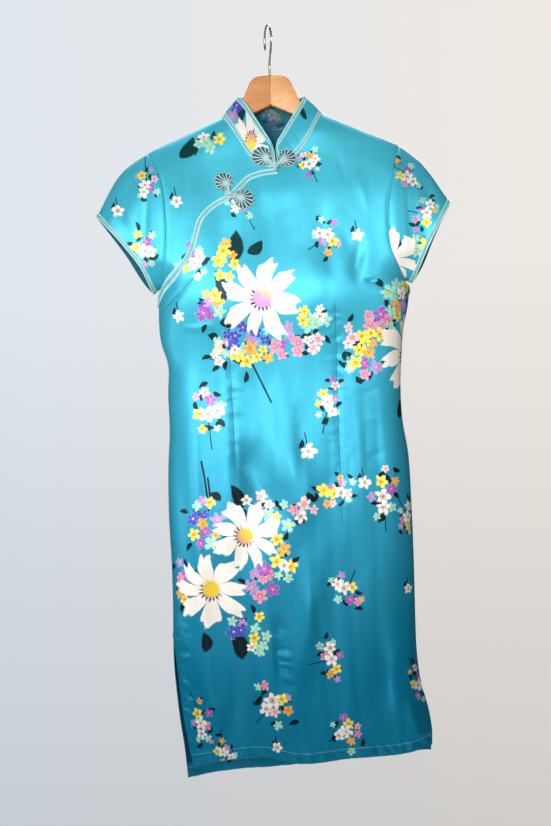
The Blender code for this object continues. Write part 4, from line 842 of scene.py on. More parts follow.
def stampCloth(name, data):
    # the corners of the faces near each motif get their place in its frame; where motifs overlap, the
    # later one goes in the next layer
    mesh, key = data["piece"].data, data["key"].reshape(-1, 2)
    corners = key[cornersOf(mesh)].reshape(-1, 4, 2)
    middles = corners.mean(axis=1)
    middles[np.ptp(corners, axis=1).max(axis=1) > 30] = farOff      # the seam of a tube
    layers = {(kind, n): np.tile(unstamped, (len(corners), 4, 1))
              for kind, count in stampLayers.items() for n in range(count)}
    used = {kind: np.zeros(len(corners), int) for kind in stampLayers}
    for kind, x, z, long, wide, turn, number in motifs[name]:
        c, s = math.cos(math.radians(turn)), math.sin(math.radians(turn))
        reach = max(long, wide) * 1.02 + scatter["margin"]
        near = np.flatnonzero(((middles - (x, z))**2).sum(axis=1) < reach**2)
        for layer in range(stampLayers[kind]):
            here = near[used[kind][near] == layer]
            a, b = np.moveaxis(corners[here] - (x, z), -1, 0)
            layers[kind, layer][here] = np.stack(
                [(a * c + b * s) / long, (b * c - a * s) / wide, np.full(a.shape, float(number))], axis=-1)
        used[kind][near] += 1
    for (kind, layer), values in layers.items():
        attribute = mesh.attributes.new(f"{kind}{layer}", "FLOAT_VECTOR", "CORNER")
        attribute.data.foreach_set("vector", values.astype(np.float32).ravel())


# How the motifs are drawn. Lengths are shares of the motif's own; rag is how ragged its edge is, sway
# how far its shape is bent, edge how sharply it ends.
# the leaves' low and high inks are painted shade towards the hem and painted light towards the shoulders
leafForm = dict(bow=0.45, bowAt=0.35, round=0.75, taper=0.3, rag=0.25, edge=6, veinThin=12, veinTo=0.6,
                veinShows=0.35, low=ink(5, 26, 34), high=ink(18, 62, 64), vein=ink(20, 84, 84))
bloomForm = dict(petals=5, core=0.34, petal=0.60, round=0.6, twist=2.6, rag=0.35, sway=0.6, edge=7,
                 inner=0.50, innerShows=0.8, eye=0.17, tick=0.24, tickWide=0.05, tickInk=ink(84, 44, 60))
daisyForm = dict(petals=8, twist=1.1, round=2.8, tooth=0.06, teeth=19, long=0.80, longMore=0.20, notch=0.52,
                 notchMore=0.16, rag=0.14, edge=22, eye=0.22, eyeEdge=24, dashes=17, dashTo=0.32,
                 white=ink(252, 247, 238), streak=ink(234, 222, 206), gap=ink(186, 172, 156),
                 spot=ink(248, 216, 128), eyes=(ink(236, 160, 214), ink(232, 150, 70)),
                 eyeLight=ink(250, 216, 70), dashInks=(ink(44, 40, 96), ink(96, 60, 130)))


def printInto(board, colour):
    # the leaves, then the blooms, then the daisies, over the ground's colour
    where = board.place()
    rag, sway = board.noise(where, 260.0, 3.0, 0.6) - 0.5, board.noise(where, 85.0, 1.0) - 0.5
    colour = leavesInto(board, colour, where, rag, sway)
    colour = bloomsInto(board, colour, rag, sway)
    for layer in range(stampLayers["daisy"]):
        colour = daisyInto(board, colour, f"daisy{layer}", where, rag)
    return colour


def leavesInto(board, colour, where, rag, sway):
    # a bowed blade, widest near its stalk, with a vein down its middle; painted lighter and greener towards
    # the shoulders and darker towards the hem, as painted light and shade
    like = leafForm
    # painted light and shade: the leaf ink is blended by height
    height = (board.split(where)[2] * 2.5 + 1.6 + sway).clip()
    green = board.blend(height, like["low"], like["high"])
    for layer in range(stampLayers["leaf"]):
        u, v, stem = board.split(board.attribute(f"leaf{layer}"))
        rib = abs(v - (u * u - like["bowAt"]) * like["bow"] * (1 - stem))
        blade = (1 - u * u).clip()**like["round"] * (1 - like["taper"] * u) * (1 - stem) + stem
        mask = ((blade - rib + rag * like["rag"]) * like["edge"]).clip() * (abs(u) < 1.0)
        vein = (1 - rib * like["veinThin"]).clip() * (1 - stem) * (u < like["veinTo"]) * like["veinShows"]
        colour = board.blend(mask, colour, board.blend(vein, green, like["vein"]))
    return colour


def bloomsInto(board, colour, rag, sway):
    # petals from the cosine of the angle, bent by noise; the last layer that covers a point gives the
    # radius and the kind there, and those give the colours
    like = bloomForm
    radius, number, shown = unstamped[0], 0.0, 0.0
    for layer in range(stampLayers["bloom"]):
        u, v, kind = board.split(board.attribute(f"bloom{layer}"))
        r = (u * u + v * v)**0.5
        lobe = abs((v.math("ARCTAN2", u) * (like["petals"] / 2) + sway * like["twist"]).math("COSINE"))
        edge = like["core"] + like["petal"] * lobe**like["round"] + rag * like["rag"] + sway * like["sway"]
        soft = ((edge - r) * like["edge"]).clip()
        hard = soft > 0.5
        radius = r * hard + radius * (1 - hard)
        number = kind * hard + number * (1 - hard)
        shown = soft.math("MAXIMUM", shown)
    pick = (number + 0.5) / len(bloomNames)
    outer, inner, eye = [board.node("ShaderNodeValToRGB", dict(interpolation="CONSTANT", stops=[
        (i / len(bloomNames), bloomInks[name][part]) for i, name in enumerate(bloomNames)]), {0: pick})
        for part in range(3)]
    towards = ((like["inner"] - radius + rag * 0.8) * 4).clip() * like["innerShows"]
    petal = board.blend(towards, outer, inner)
    petal = board.blend(((rag + 0.02) * 3).clip() * 0.35, petal, outer)
    petal = board.blend(((like["eye"] - radius + sway * 0.2) * 16).clip(), petal, eye)
    tick = ((like["tickWide"] - abs(radius - like["tick"] - sway * 0.3)) * 30).clip()
    tick = tick * ((sway + 0.06) * 12).clip()
    petal = board.blend(tick * 0.8, petal, like["tickInk"])
    return board.blend(shown, colour, petal)


def daisyInto(board, colour, layer, where, rag):
    # uneven petals: the way round is bent by noise and cut in eight, each petal has its own length, its
    # edge falls off to both sides and its tip is toothed; then soft spots and the eye
    like = daisyForm
    u, v, kind = board.split(board.attribute(layer))
    r, angle = (u * u + v * v)**0.5, v.math("ARCTAN2", u)
    twist = like["twist"] * board.noise(board.attribute(layer), 0.9, 0.0)
    turn = angle * (like["petals"] / fullTurn) + 20.5 + twist
    number = turn.math("FLOOR")
    lean = turn - number - 0.5
    luck = board.node("ShaderNodeTexWhiteNoise", dict(noise_dimensions="1D"), {"W": number + kind * 9})
    side = (abs(lean) * 2)**like["round"]
    teeth = like["tooth"] * (lean * like["teeth"] + luck * 6).math("COSINE") * (1 - side).clip()
    long, notch = like["long"] + like["longMore"] * luck, like["notch"] + like["notchMore"] * luck
    tip = long * (1 - notch * side) - teeth + rag * like["rag"]
    petals = ((tip - r) * like["edge"]).clip()
    fibres = board.node("ShaderNodeCombineXYZ", {}, {0: lean * 14, 1: r * 3, 2: number})
    streak = ((board.noise(fibres, 1.0, 3.0) - 0.52) * 4).clip() * 0.35
    white = board.blend(streak, like["white"], like["streak"])
    gap = ((side - 0.72) * 6).clip() * ((r - 0.16) * 6).clip() * 0.5
    white = board.blend(gap, white, like["gap"])
    spot = ((board.noise(where, 95.0, 1.0) - 0.68) * 14).clip() * (r < 0.7)
    white = board.blend(spot * 0.8, white, like["spot"])
    # the eye: a round of colour, a crescent on its upper right, and dark dashes on the other side
    glow = ((u + v) * 3 + kind * 0.8 + rag).clip()
    disc = board.blend(glow, board.blend((kind * 0.6).clip(), *like["eyes"]), like["eyeLight"])
    dash = ((angle * like["dashes"] + rag * 5).math("SINE") + 0.3 + (0.27 - r) * 12).clip()
    crescent = ((0.12 - u - v * 0.6 + rag * 0.4) * 6).clip()
    fringe = ((like["dashTo"] - r + rag * 0.3) * 16).clip() * crescent * dash
    white = board.blend(fringe, white, board.blend(luck, *like["dashInks"]))
    white = board.blend(((like["eye"] - r + rag * 0.08) * like["eyeEdge"]).clip(), white, disc)
    return board.blend(petals, colour, white)


# Materials

# deep and light are the ground's painted shade towards the hem and painted light towards the shoulders; the
# reverse ink is the reverse's own dull colour, darkened further as painted shade
satin = dict(deep=ink(4, 126, 162), light=ink(70, 182, 206), reverseAndShade=ink(6, 64, 84),
             thread=ink(150, 222, 232), rough=0.42, gloss=0.12, grain=0.6, lustre=0.28, coat=0.03,
             coatRough=0.25, dullRough=0.6, showsThrough=0.16, stitchAt=15.0, stitchEvery=0.3)


def satinCloth(name, dull=False):
    # printed satin: a turquoise ground, painted lighter towards the shoulders and darker towards the hem as
    # painted light and shade, the print, fine threads and crinkles;
    # its reverse shows the print through, darker and without gloss, partly by its own dull colour and partly
    # by painted shade
    board = Board(name, Roughness=satin["dullRough"] if dull else satin["rough"],
                  Metallic=0.0 if dull else satin["lustre"], Specular_IOR_Level=satin["gloss"],
                  Anisotropic=satin["grain"], Coat_Weight=0.0 if dull else satin["coat"],
                  Coat_Roughness=satin["coatRough"])
    where = board.place()
    cloud = board.noise(where, 6.0, 2.0)
    # painted light and shade: the ground is blended by height, lighter towards the shoulders and darker
    # towards the hem
    height = (board.split(where)[2] * 1.35 + 1.16 + cloud * 0.3).clip()
    colour = printInto(board, board.blend(height, satin["deep"], satin["light"]))
    gap, above, run = board.split(board.attribute("sewing"))
    # partly painted shade: the inside is blended towards the reverse ink, the reverse's own dull colour
    # darkened further for shade inside the garment
    if dull:      # but the turned-up hem shows its right side
        covered = (1 - satin["showsThrough"]) * (above > cloth["hemDepth"])
        colour = board.blend(covered, colour, satin["reverseAndShade"])
    dart = (1 - abs(gap) * 0.9).clip()
    colour = board.blend(dart * 0.5, colour, satin["reverseAndShade"])
    stitch = (1 - abs(above - satin["stitchAt"]) * 1.6).clip()
    stitch = stitch * ((run * satin["stitchEvery"]).math("FRACT") < 0.75)
    colour = board.blend(stitch * 0.8, colour, satin["thread"])
    threads = board.noise(where, 1500.0, 1.0, stretch=(1.0, 1.0, 0.2))
    crinkle = board.noise(where, 34.0, 3.0, 0.55, stretch=(1.0, 1.0, 0.45))
    height = crinkle * 1.2 + threads * 0.03 - dart * 0.5 + stitch * 0.2
    return board.finish(Base_Color=colour, Normal=board.bump(height, 0.35, 0.0016))


printedSatin = satinCloth("printed_satin_face")
# the reverse: darker partly by its own dull colour and partly by painted shade
satinReverseAndShade = satinCloth("satin_reverse_and_shade", True)


def wireSteel(name, colour, rough):
    # bright wire, a little darker in patches
    board = Board(name, Roughness=rough, Metallic=1.0)
    grain = board.noise(board.place(), 220.0, 3.0)
    return board.finish(Base_Color=board.blend(grain, colour, tuple(0.8 * c for c in colour)))


def beech(name, pale, dark):
    # grain stretched along the arm, with short dark flecks, under a thin varnish
    board = Board(name, Roughness=0.4)
    grain = board.noise(board.place(), 130.0, 4.0, 0.6, stretch=(0.1, 1.0, 1.0))
    fleck = ((board.noise(board.place(), 700.0, 1.0, stretch=(0.12, 1.0, 1.0)) - 0.62) * 9).clip()
    colour = board.blend(((grain - 0.3) * 2.4).clip(), pale, dark)
    colour = board.blend(fleck * 0.35, colour, tuple(0.6 * c for c in dark))
    return board.finish(Base_Color=colour, Normal=board.bump(grain, 0.2, 0.0004))


def pipingCloth():
    # pale satin cords with a grey-green strip between them, by the share of the way across
    board = Board("piping_satin", Roughness=0.42, Sheen_Weight=0.08)
    across = board.split(board.node("ShaderNodeUVMap", dict(uv_map="across"), {}))
    middle = ((0.22 - abs(across[1] - 0.5)) * 14).clip()
    shade = board.noise(board.place(), 160.0, 3.0)
    pale = board.blend(shade, ink(178, 228, 230), ink(150, 208, 214))
    grey = board.blend(shade, ink(118, 186, 190), ink(96, 162, 168))
    twist = ((across[0] * 2600 + across[1] * 9).math("SINE") * 0.5 + 0.5) * (1 - middle)
    threads = board.noise(board.place(), 1400.0, 1.0)
    return board.finish(Base_Color=board.blend(middle, pale, grey),
                        Normal=board.bump(twist * 0.5 + threads * 0.2, 0.3, 0.0005))


def cordSatin():
    # rolled satin cord: pale ridges, with threads that wind round it
    board = Board("frog_cord_satin", Roughness=0.4, Sheen_Weight=0.08)
    far, turned, _ = board.split(board.node("ShaderNodeUVMap", dict(uv_map="across"), {}))
    wind = (far * 5200 + turned * fullTurn).math("SINE") * 0.5 + 0.5
    shade = board.noise(board.place(), 300.0, 2.0)
    colour = board.blend(shade, ink(206, 232, 232), ink(150, 196, 200))
    return board.finish(Base_Color=board.blend(wind * 0.18, colour, ink(110, 160, 166)),
                        Normal=board.bump(wind, 0.25, 0.0003))


def footSatin():
    # a dark sheet under a frog's cords, its colour painted shade in the gaps between the loops
    board = Board("frog_foot_painted_shade", Roughness=0.6)
    shade = board.noise(board.place(), 500.0, 2.0)
    return board.finish(Base_Color=board.blend(shade, ink(58, 92, 100), ink(30, 60, 70)))


pipingSatin, frogCord, frogFootShade = pipingCloth(), cordSatin(), footSatin()
darkBeech = beech("dark_beech_wood", ink(216, 150, 90), ink(196, 128, 72))
lightBeech = beech("light_beech_wood", ink(228, 168, 104), ink(212, 148, 84))
steel = wireSteel("bright_steel_wire", (0.62, 0.60, 0.56), 0.28)


# The panels and sleeves

clothPieces = {}
# Each grid's points are bunched where the cloth turns: their count, then the whole length in mm and its
# two end zones. The print is measured from a row and the x there, or from a sleeve's middle row and column.
bunches = dict(panelAcross=(112, 365, 48, 48), frontDown=(104, 290, 46, 0), backDown=(80, 205, 46, 0),
               underAcross=(56, 150, 20, 20), underDown=(74, 230, 46, 0), sleeveAcross=(52, 190, 44, 44),
               collarSide=(60, 115, 40, 0), collarBack=(80, 152, 44, 44))
rowsDown = dict(skirt=212, sleeve=40)
printFrom = dict(front_panel=(104, 60), back_panel=(79, 0), under_front_panel=(40, -110))


def thicken(piece, thick=cloth["thick"], hemGroup=None):
    # the wall goes inwards from the outer face, and its inside shows the reverse of the satin; away from
    # a doubled hem it is half as thick
    wall = piece.modifiers.new("cloth", "SOLIDIFY")
    wall.thickness, wall.offset = thick * mm, -1.0
    wall.use_even_offset = False
    wall.material_offset = 1
    wall.material_offset_rim = 0
    if hemGroup is not None:
        wall.vertex_group = hemGroup
        wall.thickness_vertex_group = 0.5


def clothPiece(name, node, points, quads, flat, key):
    # a piece of satin with its reverse; flat is where it was drawn and key is the print's own frame
    piece = makePiece(name, points, quads, node, [printedSatin, satinReverseAndShade], flat * mm)
    clothPieces[name] = dict(piece=piece, flat=flat, key=key)
    return piece


def panel(name, node, face, flat, lift=0.0, hem=None):
    # a cloth panel: its flat grid stood on the form, lifted where it overlaps, doubled at the hem
    points = standGrid(face, flat)
    normals = gridNormals(points, face)
    if np.ndim(lift):
        points = points + normals * lift.reshape(*flat.shape[:2], 1)
    row, x = printFrom[name]
    column = np.argmin(np.abs(flat[row, :, 0] - x))
    key = unroll(flat, calm(points), column, row)
    piece = clothPiece(name, node, points, outwardQuads(points, normals), flat, key)
    if hem is None:
        thicken(piece)
        return
    above = flat[..., 1] - np.interp(flat[..., 0], hem[:, 0], hem[:, 1])
    group = piece.vertex_groups.new(name="hem")
    group.add(np.flatnonzero(above.ravel() < cloth["hemDepth"]).tolist(), 1.0, "REPLACE")
    thicken(piece, 2 * cloth["thick"], "hem")


def wholePanel(face, top, bottom, upperSides, lowerSides, across, down):
    # a panel's grid: one blended sheet down to the armpits' line, and one from there to the hem
    upper = coons(share(top, across), bottom, *[share(line, down) for line in upperSides], across, down)
    down = np.linspace(0, 1, rowsDown["skirt"])
    lower = coons(bottom, share(cut["hem", face], across), *[share(line, down) for line in lowerSides],
                  across, down)
    return np.concatenate([upper, lower[1:]])


def makeFront():
    # from the right shoulder, the neck and the opening's edge down to the hem
    across, down = bunched(*bunches["panelAcross"]), bunched(*bunches["frontDown"])
    foot, seam = cut["opening"][-1], cut["seam", "left"]
    leftSide = np.vstack([walk(seam, [openingPlan["footBelow"]]),
                          seam[arcOf(seam) > openingPlan["footBelow"]], cut["slit", front, "left"][1:]])
    rightSide = np.vstack([cut["seam", "right"], cut["slit", front, "right"][1:]])
    bottom = foot + across[:, None] * (rightSide[0] - foot)
    edge = np.vstack([cut["neck", "right"], cut["opening"][1:]])
    flat = wholePanel(front, cut["shoulder", "right"], bottom, (edge, cut["armhole", front, "right"]),
                      (leftSide, rightSide), across, down)
    panel("front_panel", "front", front, flat, liftAt(flat.reshape(-1, 2)), cut["hem", front])


def makeBack():
    # from both shoulders and the nape down to the hem
    across, down = bunched(*bunches["panelAcross"]), bunched(*bunches["backDown"])
    lowerSides = [np.vstack([cut["seam", side], cut["slit", back, side][1:]]) for side in sides]
    first, last = lowerSides[0][0], lowerSides[1][0]
    bottom = first + across[:, None] * (last - first)
    top = np.vstack([cut["shoulder", "left"][::-1], cut["neckBack"][1:], cut["shoulder", "right"][1:]])
    flat = wholePanel(back, top, bottom, [cut["armhole", back, side] for side in sides], lowerSides,
                      across, down)
    panel("back_panel", "back", back, flat, hem=cut["hem", back])


def makeUnderFront():
    # from the left shoulder down to a line that the front covers
    overlap, seam = openingRow(openingPlan["overlap"]), cut["seam", "left"]
    foot = np.interp(-overlap[-1, 1], -seam[:, 1], arcOf(seam))
    neckSide = np.vstack([cut["neck", "left"], overlap[:1]])
    armSide = np.vstack([cut["armhole", front, "left"], walk(seam, [foot / 2, foot])])
    across, down = bunched(*bunches["underAcross"]), bunched(*bunches["underDown"])
    flat = coons(share(cut["shoulder", "left"], across), share(overlap, across),
                 share(neckSide, down), share(armSide, down), across, down)
    panel("under_front_panel", "under_front", front, flat)


def makeSleeve(side):
    # a tube: front and back halves share their top line and under line, and the ring of both runs
    # from the armhole to the cuff
    halves = []
    across, down = bunched(*bunches["sleeveAcross"]), np.linspace(0, 1, rowsDown["sleeve"])
    for face, apart in ((front, 0), (back, 1000)):
        sheet = coons(share(cut["armhole", face, side], across), share(cut["cuff", face, side], across),
                      share(cut["sleeveTop", side], down), share(cut["under", side], down), across, down)
        points = standGrid(face, sheet, seam=0.0)
        key = unroll(sheet, points, len(across) // 2, len(down) // 2)
        halves.append((sheet, points, key + (apart, 0)))
    flat, ring, key = (np.concatenate([one, other[:, -2:0:-1]], axis=1) for one, other in zip(*halves))
    normals = ringNormals(ring)
    quads = outwardQuads(ring, normals, closed=True)
    thicken(clothPiece(side + "_sleeve", "sleeve_" + side, ring, quads, flat, key))
    return ring, normals


def ringNormals(ring):
    # as gridNormals, on a ring whose columns join up, turned away from each row's middle
    around = np.roll(ring, -1, axis=1) - np.roll(ring, 1, axis=1)
    normals = unit(np.cross(around, np.gradient(ring, axis=0)))
    away = ring - ring.mean(axis=1, keepdims=True)
    return normals * np.sign((normals * away).sum())


# Piping: two round cords with a flat grey strip between

piping = dict(cord=1.25, cordAt=0.16, cordHalf=0.16, strip=0.55, stripFrom=0.1, rise=0.1, sink=0.5,
              samples=17, cuff=7.0)
pipingWay = np.linspace(0, 1, piping["samples"])     # the samples across the piping, from 0 to 1


def pipingRise():
    # heights over the cloth across the piping: half a circle near each border, a low strip between them
    w, near, far = pipingWay, piping["cordAt"], 1 - piping["cordAt"]
    ball = [np.sqrt(np.maximum(1 - ((w - middle) / piping["cordHalf"])**2, 0)) for middle in (near, far)]
    strip = (w > piping["stripFrom"]) * (w < 1 - piping["stripFrom"])
    return np.maximum(piping["cord"] * np.maximum(*ball), piping["strip"] * strip)


def layPiping(name, node, grid, normals, closed=False):
    # grid is the cloth under the piping, one column for each sample across it; the ring goes over the
    # cords and back just inside the cloth
    middle = piping["samples"] // 2
    below = [0, middle, 2 * middle]
    over = grid + normals * (pipingRise()[None, :, None] + piping["rise"])
    under = grid[:, ::-1] - normals[:, ::-1] * piping["sink"]
    ring = np.concatenate([over, under[:, below]], axis=1)
    uv = spread(arcOf(grid[:, middle])[:, None] * mm,
                np.concatenate([pipingWay, pipingWay[::-1][below]])[None])
    flip = facesIn(ring, normals[1, middle], 1, middle)
    quads = (loopedQuads if closed else cappedQuads)(*ring.shape[:2], flip=flip)
    makePiece(name, ring, quads, node, [pipingSatin], uv)


def makeOpeningPiping():
    # a strip of the front beside the opening's edge, as far over the form as the front is
    first, last = openingRow(0.0), openingRow(openingPlan["trim"])
    points = standGrid(front, first[:, None] + pipingWay[None, :, None] * (last - first)[:, None])
    normals = gridNormals(points, front)
    layPiping("opening_piping", "opening_trim", points + normals * cloth["overlap"], normals)


def makeCuffPiping(side, ring, normals):
    # the last stretch of the sleeve, measured back from the cuff along each of its columns
    reach = pipingWay * piping["cuff"]
    fromCuff = np.cumsum(np.linalg.norm(np.diff(ring[::-1], axis=0), axis=2), axis=0)
    fromCuff = np.concatenate([np.zeros((1, ring.shape[1])), fromCuff])
    at = np.argmax(fromCuff[None] > reach[:, None, None], axis=1)
    columns = np.arange(ring.shape[1])[None]
    below, above = fromCuff[at - 1, columns], fromCuff[at, columns]
    part = ((reach[:, None] - below) / (above - below))[..., None]

    def between(rows):
        # the sleeve's rows read at those distances
        return (rows[at - 1, columns] * (1 - part) + rows[at, columns] * part).transpose(1, 0, 2)
    layPiping(side + "_cuff_piping", "cuff_trim_" + side, between(ring[::-1]),
              unit(between(normals[::-1])), closed=True)


# The standing collar

collar = dict(height=37.0, corner=11.0, bulge=1.5, wave=0.3, halfGap=0.8, seam=0.1, edge=7.0, base=6.5,
              baseEnd=0.4, wall=1.3, columns=230, rows=26, cornerRows=14, frontRows=12, topRows=90,
              baseRows=200)
collarTop = dict(
    left=table("x y z", (-12.6, -22.5, -160.8), (-25.8, -20, -137.6), (-38.1, -16, -116.8)),
    right=table("x y z", (16.3, -22.5, -158.8), (28.3, -20, -140.6), (40.2, -16, -123.9)),
    back=table("x y z", (-40, 9, -104.5), (0, 17.5, -111.5), (41, 9, -109)))
collarSide = {"left": (-47.6, -8.0, -103.7), "right": (48.3, -8.0, -109.1)}
collarCentre = np.array([0.0, -24.0, -182.5])


def collarEdges():
    # the base runs on the neck seams from the left end round the back to the right end, and the top
    # line over it is matched by its share of the way on each side
    base, top = [], []
    for side in sides:
        neck = share(cut["neck", side], bunched(*bunches["collarSide"]))
        points = stand(front, neck)
        if side == "right":
            normals = np.tile([0.0, -1.0, 0.0], (len(neck), 1))
            points = points + normals * liftAt(neck)[:, None]
        points[-1, 0] += outward[side] * collar["halfGap"]
        start = collarCentre + np.array([outward[side] * collar["halfGap"], 0, 0])
        line = smoothLine([start, *zip(*collarTop[side].values()), collarSide[side]])
        over = share(line, 1 - arcOf(neck) / arcOf(neck)[-1])
        order = slice(None, None, -1) if side == "left" else slice(None)
        base.append(points[order])
        top.append(over[order])
    neck = share(cut["neckBack"], bunched(*bunches["collarBack"]))
    points = stand(back, neck)
    line = smoothLine([collarSide["left"], *zip(*collarTop["back"].values()), collarSide["right"]])
    over = share(line, arcOf(neck) / arcOf(neck)[-1])
    for i, j, k in ((0, -1, 0), (1, 0, -1)):
        base[i][j, 1] = (base[i][j, 1] + points[k, 1]) / 2
    base = np.vstack([base[0], points[1:-1], base[1]])
    top = np.vstack([top[0], over[1:-1], top[1]])
    return base + collar["seam"] * unit(top - base), top


def collarSurface():
    # a point s along the base and h up: the base and top lines blended by h over the height, with a
    # bulge along the normal that is a half sine of h
    base, top = collarEdges()
    arc = arcOf(base)
    even = np.linspace(0, arc[-1], 320)
    base, top = readAt(base, arc, even), readAt(top, arc, even)
    for _ in range(3):
        top[1:-1] = (top[:-2] + 2 * top[1:-1] + top[2:]) / 4
    normals = unit(np.cross(np.gradient(base + top, axis=0), top - base))
    centre = (base + top).mean(axis=0) / 2
    normals *= np.sign((((base + top) / 2 - centre) * normals).sum())

    def at(s, h):
        # a point of the collar, and its way out of the cloth
        low, high, out = readAt(base, even, s), readAt(top, even, s), unit(readAt(normals, even, s))
        k = h / collar["height"]
        arch = np.sin(np.pi * k)
        wave = collar["wave"] * cloudNoise(s / 5 - h / 9 + 20, h / 16 + s / 30) * arch
        return low + k[..., None] * (high - low) + (collar["bulge"] * arch + wave)[..., None] * out, out
    return at, arc[-1]


def makeCollar():
    # a sheet as high as the corners' quarter circles let it be, then its two pipings
    at, length = collarSurface()
    corner, tallest = collar["corner"], collar["height"]
    s = bunched(collar["columns"], length, 10, 10) * length
    short = np.clip(corner - np.minimum(s, length - s), 0, corner)
    tall = tallest - corner + np.sqrt(corner**2 - short**2)
    flat = spread(s, np.linspace(0, 1, collar["rows"])[:, None] * tall)
    grid, normals = at(flat[..., 0], flat[..., 1])
    piece = clothPiece("standing_collar", "collar", grid, outwardQuads(grid, normals), flat, flat)
    thicken(piece, collar["wall"])
    # the edge piping follows the end, the round corner and the top; both its borders share one centre
    turn = np.linspace(0, np.pi / 2, collar["cornerRows"])[1:]
    rise = np.linspace(1.0, tallest - corner, collar["frontRows"])
    run = np.linspace(corner, length / 2, collar["topRows"])[1:]

    def border(inset):
        # a line at this inset from one end to the middle, and its mirror image to the other
        r = corner - inset
        half = np.vstack([spread(inset, rise),
                          spread(corner - r * np.cos(turn), tallest - corner + r * np.sin(turn)),
                          spread(run, tallest - inset)])
        other = half[::-1][1:].copy()
        other[:, 0] = length - other[:, 0]
        return np.vstack([half, other])
    outer, inner = border(0.0), border(collar["edge"])
    path = outer[:, None] + pipingWay[None, :, None] * (inner - outer)[:, None]
    layPiping("collar_edge_piping", "collar_edge_trim", *at(path[..., 0], path[..., 1]))
    start = collar["edge"] + collar["baseEnd"]
    s = np.linspace(start, length - start, collar["baseRows"])[:, None]
    path = spread(s, (pipingWay * collar["base"])[None])
    layPiping("collar_base_piping", "collar_base_trim", *at(path[..., 0], path[..., 1]))


# Cords, knots and flowers of cord

def tube(path, radius, around=10, rounded=4):
    # a circle carried along a path, square to it, with half a ball at each end
    path = np.asarray(path, float)
    way = unit(np.gradient(path, axis=0))
    helper = np.array([0.0, 1.0, 0.0]) if abs(way[:, 1]).max() < 0.9 else np.array([0.3, 0.2, 0.93])
    side = unit(np.cross(way, helper))
    up = np.cross(side, way)
    cap = np.linspace(0, np.pi / 2, rounded + 1)[:-1]
    radii = np.concatenate([radius * np.sin(cap), np.full(len(path), radius), radius * np.sin(cap[::-1])])
    radii = np.maximum(radii, radius * 0.02)[:, None, None]
    shift = np.concatenate([-radius * np.cos(cap), np.zeros(len(path)), radius * np.cos(cap[::-1])])
    index = np.concatenate([np.zeros(rounded, int), np.arange(len(path)), np.full(rounded, len(path) - 1)])
    middle = path[index] + shift[:, None] * way[index]
    angle = np.linspace(0, 2 * np.pi, around, endpoint=False)
    across = np.cos(angle)[None, :, None] * side[index][:, None]
    ring = middle[:, None] + radii * (across + np.sin(angle)[None, :, None] * up[index][:, None])
    uv = spread(arcOf(middle)[:, None] * mm, angle[None] / fullTurn)
    return ring.reshape(-1, 3), cappedQuads(len(middle), around), uv.reshape(-1, 2)


def gather(parts):
    # several meshes' arrays made one
    points, quads, uvs, offset = [], [], [], 0
    for some, faces, uv in parts:
        quads += [[i + offset for i in face] for face in faces]
        points.append(some)
        uvs.append(uv)
        offset += len(some)
    return np.vstack(points), quads, np.vstack(uvs)


flowers = {
    "neck_frog": table("x z radius hubX hubZ", (-19.5, -199.4, 15.4, -11, -203),
                       (18.2, -204.1, 14, 12, -207)),
    "chest_frog": table("x z radius hubX hubZ", (-77.5, -234, 14.2, -72, -239),
                        (-48.8, -262.5, 15.4, -55, -259))}
knots = {"neck_frog": dict(ball=(-0.5, -216.6), loop=(150, 38)),
         "chest_frog": dict(ball=(-69.5, -253.5), loop=(140, 300))}
frog = dict(petals=13, reach=0.965, stagger=0.1, cord=0.62, petalWidth=2.3, fill=0.72, low=1.5, rise=1.5,
            hub=(2.1, 1.6, 2.1), hubHeight=2.6, tail=0.95, tailArch=0.5, ball=4.2, core=0.8, wrap=1.05,
            wrapIn=1.15, loopCord=1.3, loopGap=0.3)
wraps = ((1, 0, 0.2), (0, 0.25, 1), (0.7, 0.2, 0.7), (-0.7, 0.2, 0.7), (0.15, 1, 0))    # their axes
# A flower's thin round foot, from its hub to its rim and back under it: the share of the way, the height.
footRings = table("share height", (0, 1.4), (0.5, 1.3), (0.93, 1.0), (0.95, 0.8), (0.95, 0), (0, 0))


def seatOf(node):
    # the plane of a CAD flower's flat foot: the thinnest way through its points, and its lowest point
    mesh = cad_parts[node].data
    points = np.empty(len(mesh.vertices) * 3)
    mesh.vertices.foreach_get("co", points)
    points = points.reshape(-1, 3) / mm
    centre = points.mean(axis=0)
    normal = np.linalg.svd(points - centre)[2][2]
    normal = normal * -np.sign(normal[1])
    return normal, ((points - centre) @ normal).min() + centre @ normal


def cordPetal(x, z, radius, hubX, hubZ, angle):
    # a narrow loop of cord, as x, z and height over the foot: it goes out from the hub, widening, turns
    # round on half a circle near the edge and comes back, and it is lowest at the edge
    tipX, tipZ = x + frog["reach"] * radius * np.cos(angle), z + frog["reach"] * radius * np.sin(angle)
    long = math.hypot(tipX - hubX, tipZ - hubZ)
    ux, uz = (tipX - hubX) / long, (tipZ - hubZ) / long
    wide = min(frog["petalWidth"] * long / radius, np.pi * radius / frog["petals"] * frog["fill"])
    t = np.linspace(0.12, 1, 12)
    bend = np.linspace(-np.pi / 2, np.pi / 2, 6)[1:-1]
    out = np.concatenate([t * (long - wide), long - wide + wide * np.cos(bend), (t * (long - wide))[::-1]])
    off = np.concatenate([-wide * t**0.7, wide * np.sin(bend), (wide * t**0.7)[::-1]])
    height = frog["low"] + frog["rise"] * (1 - out / long)**1.5
    return hubX + ux * out - uz * off, hubZ + uz * out + ux * off, height


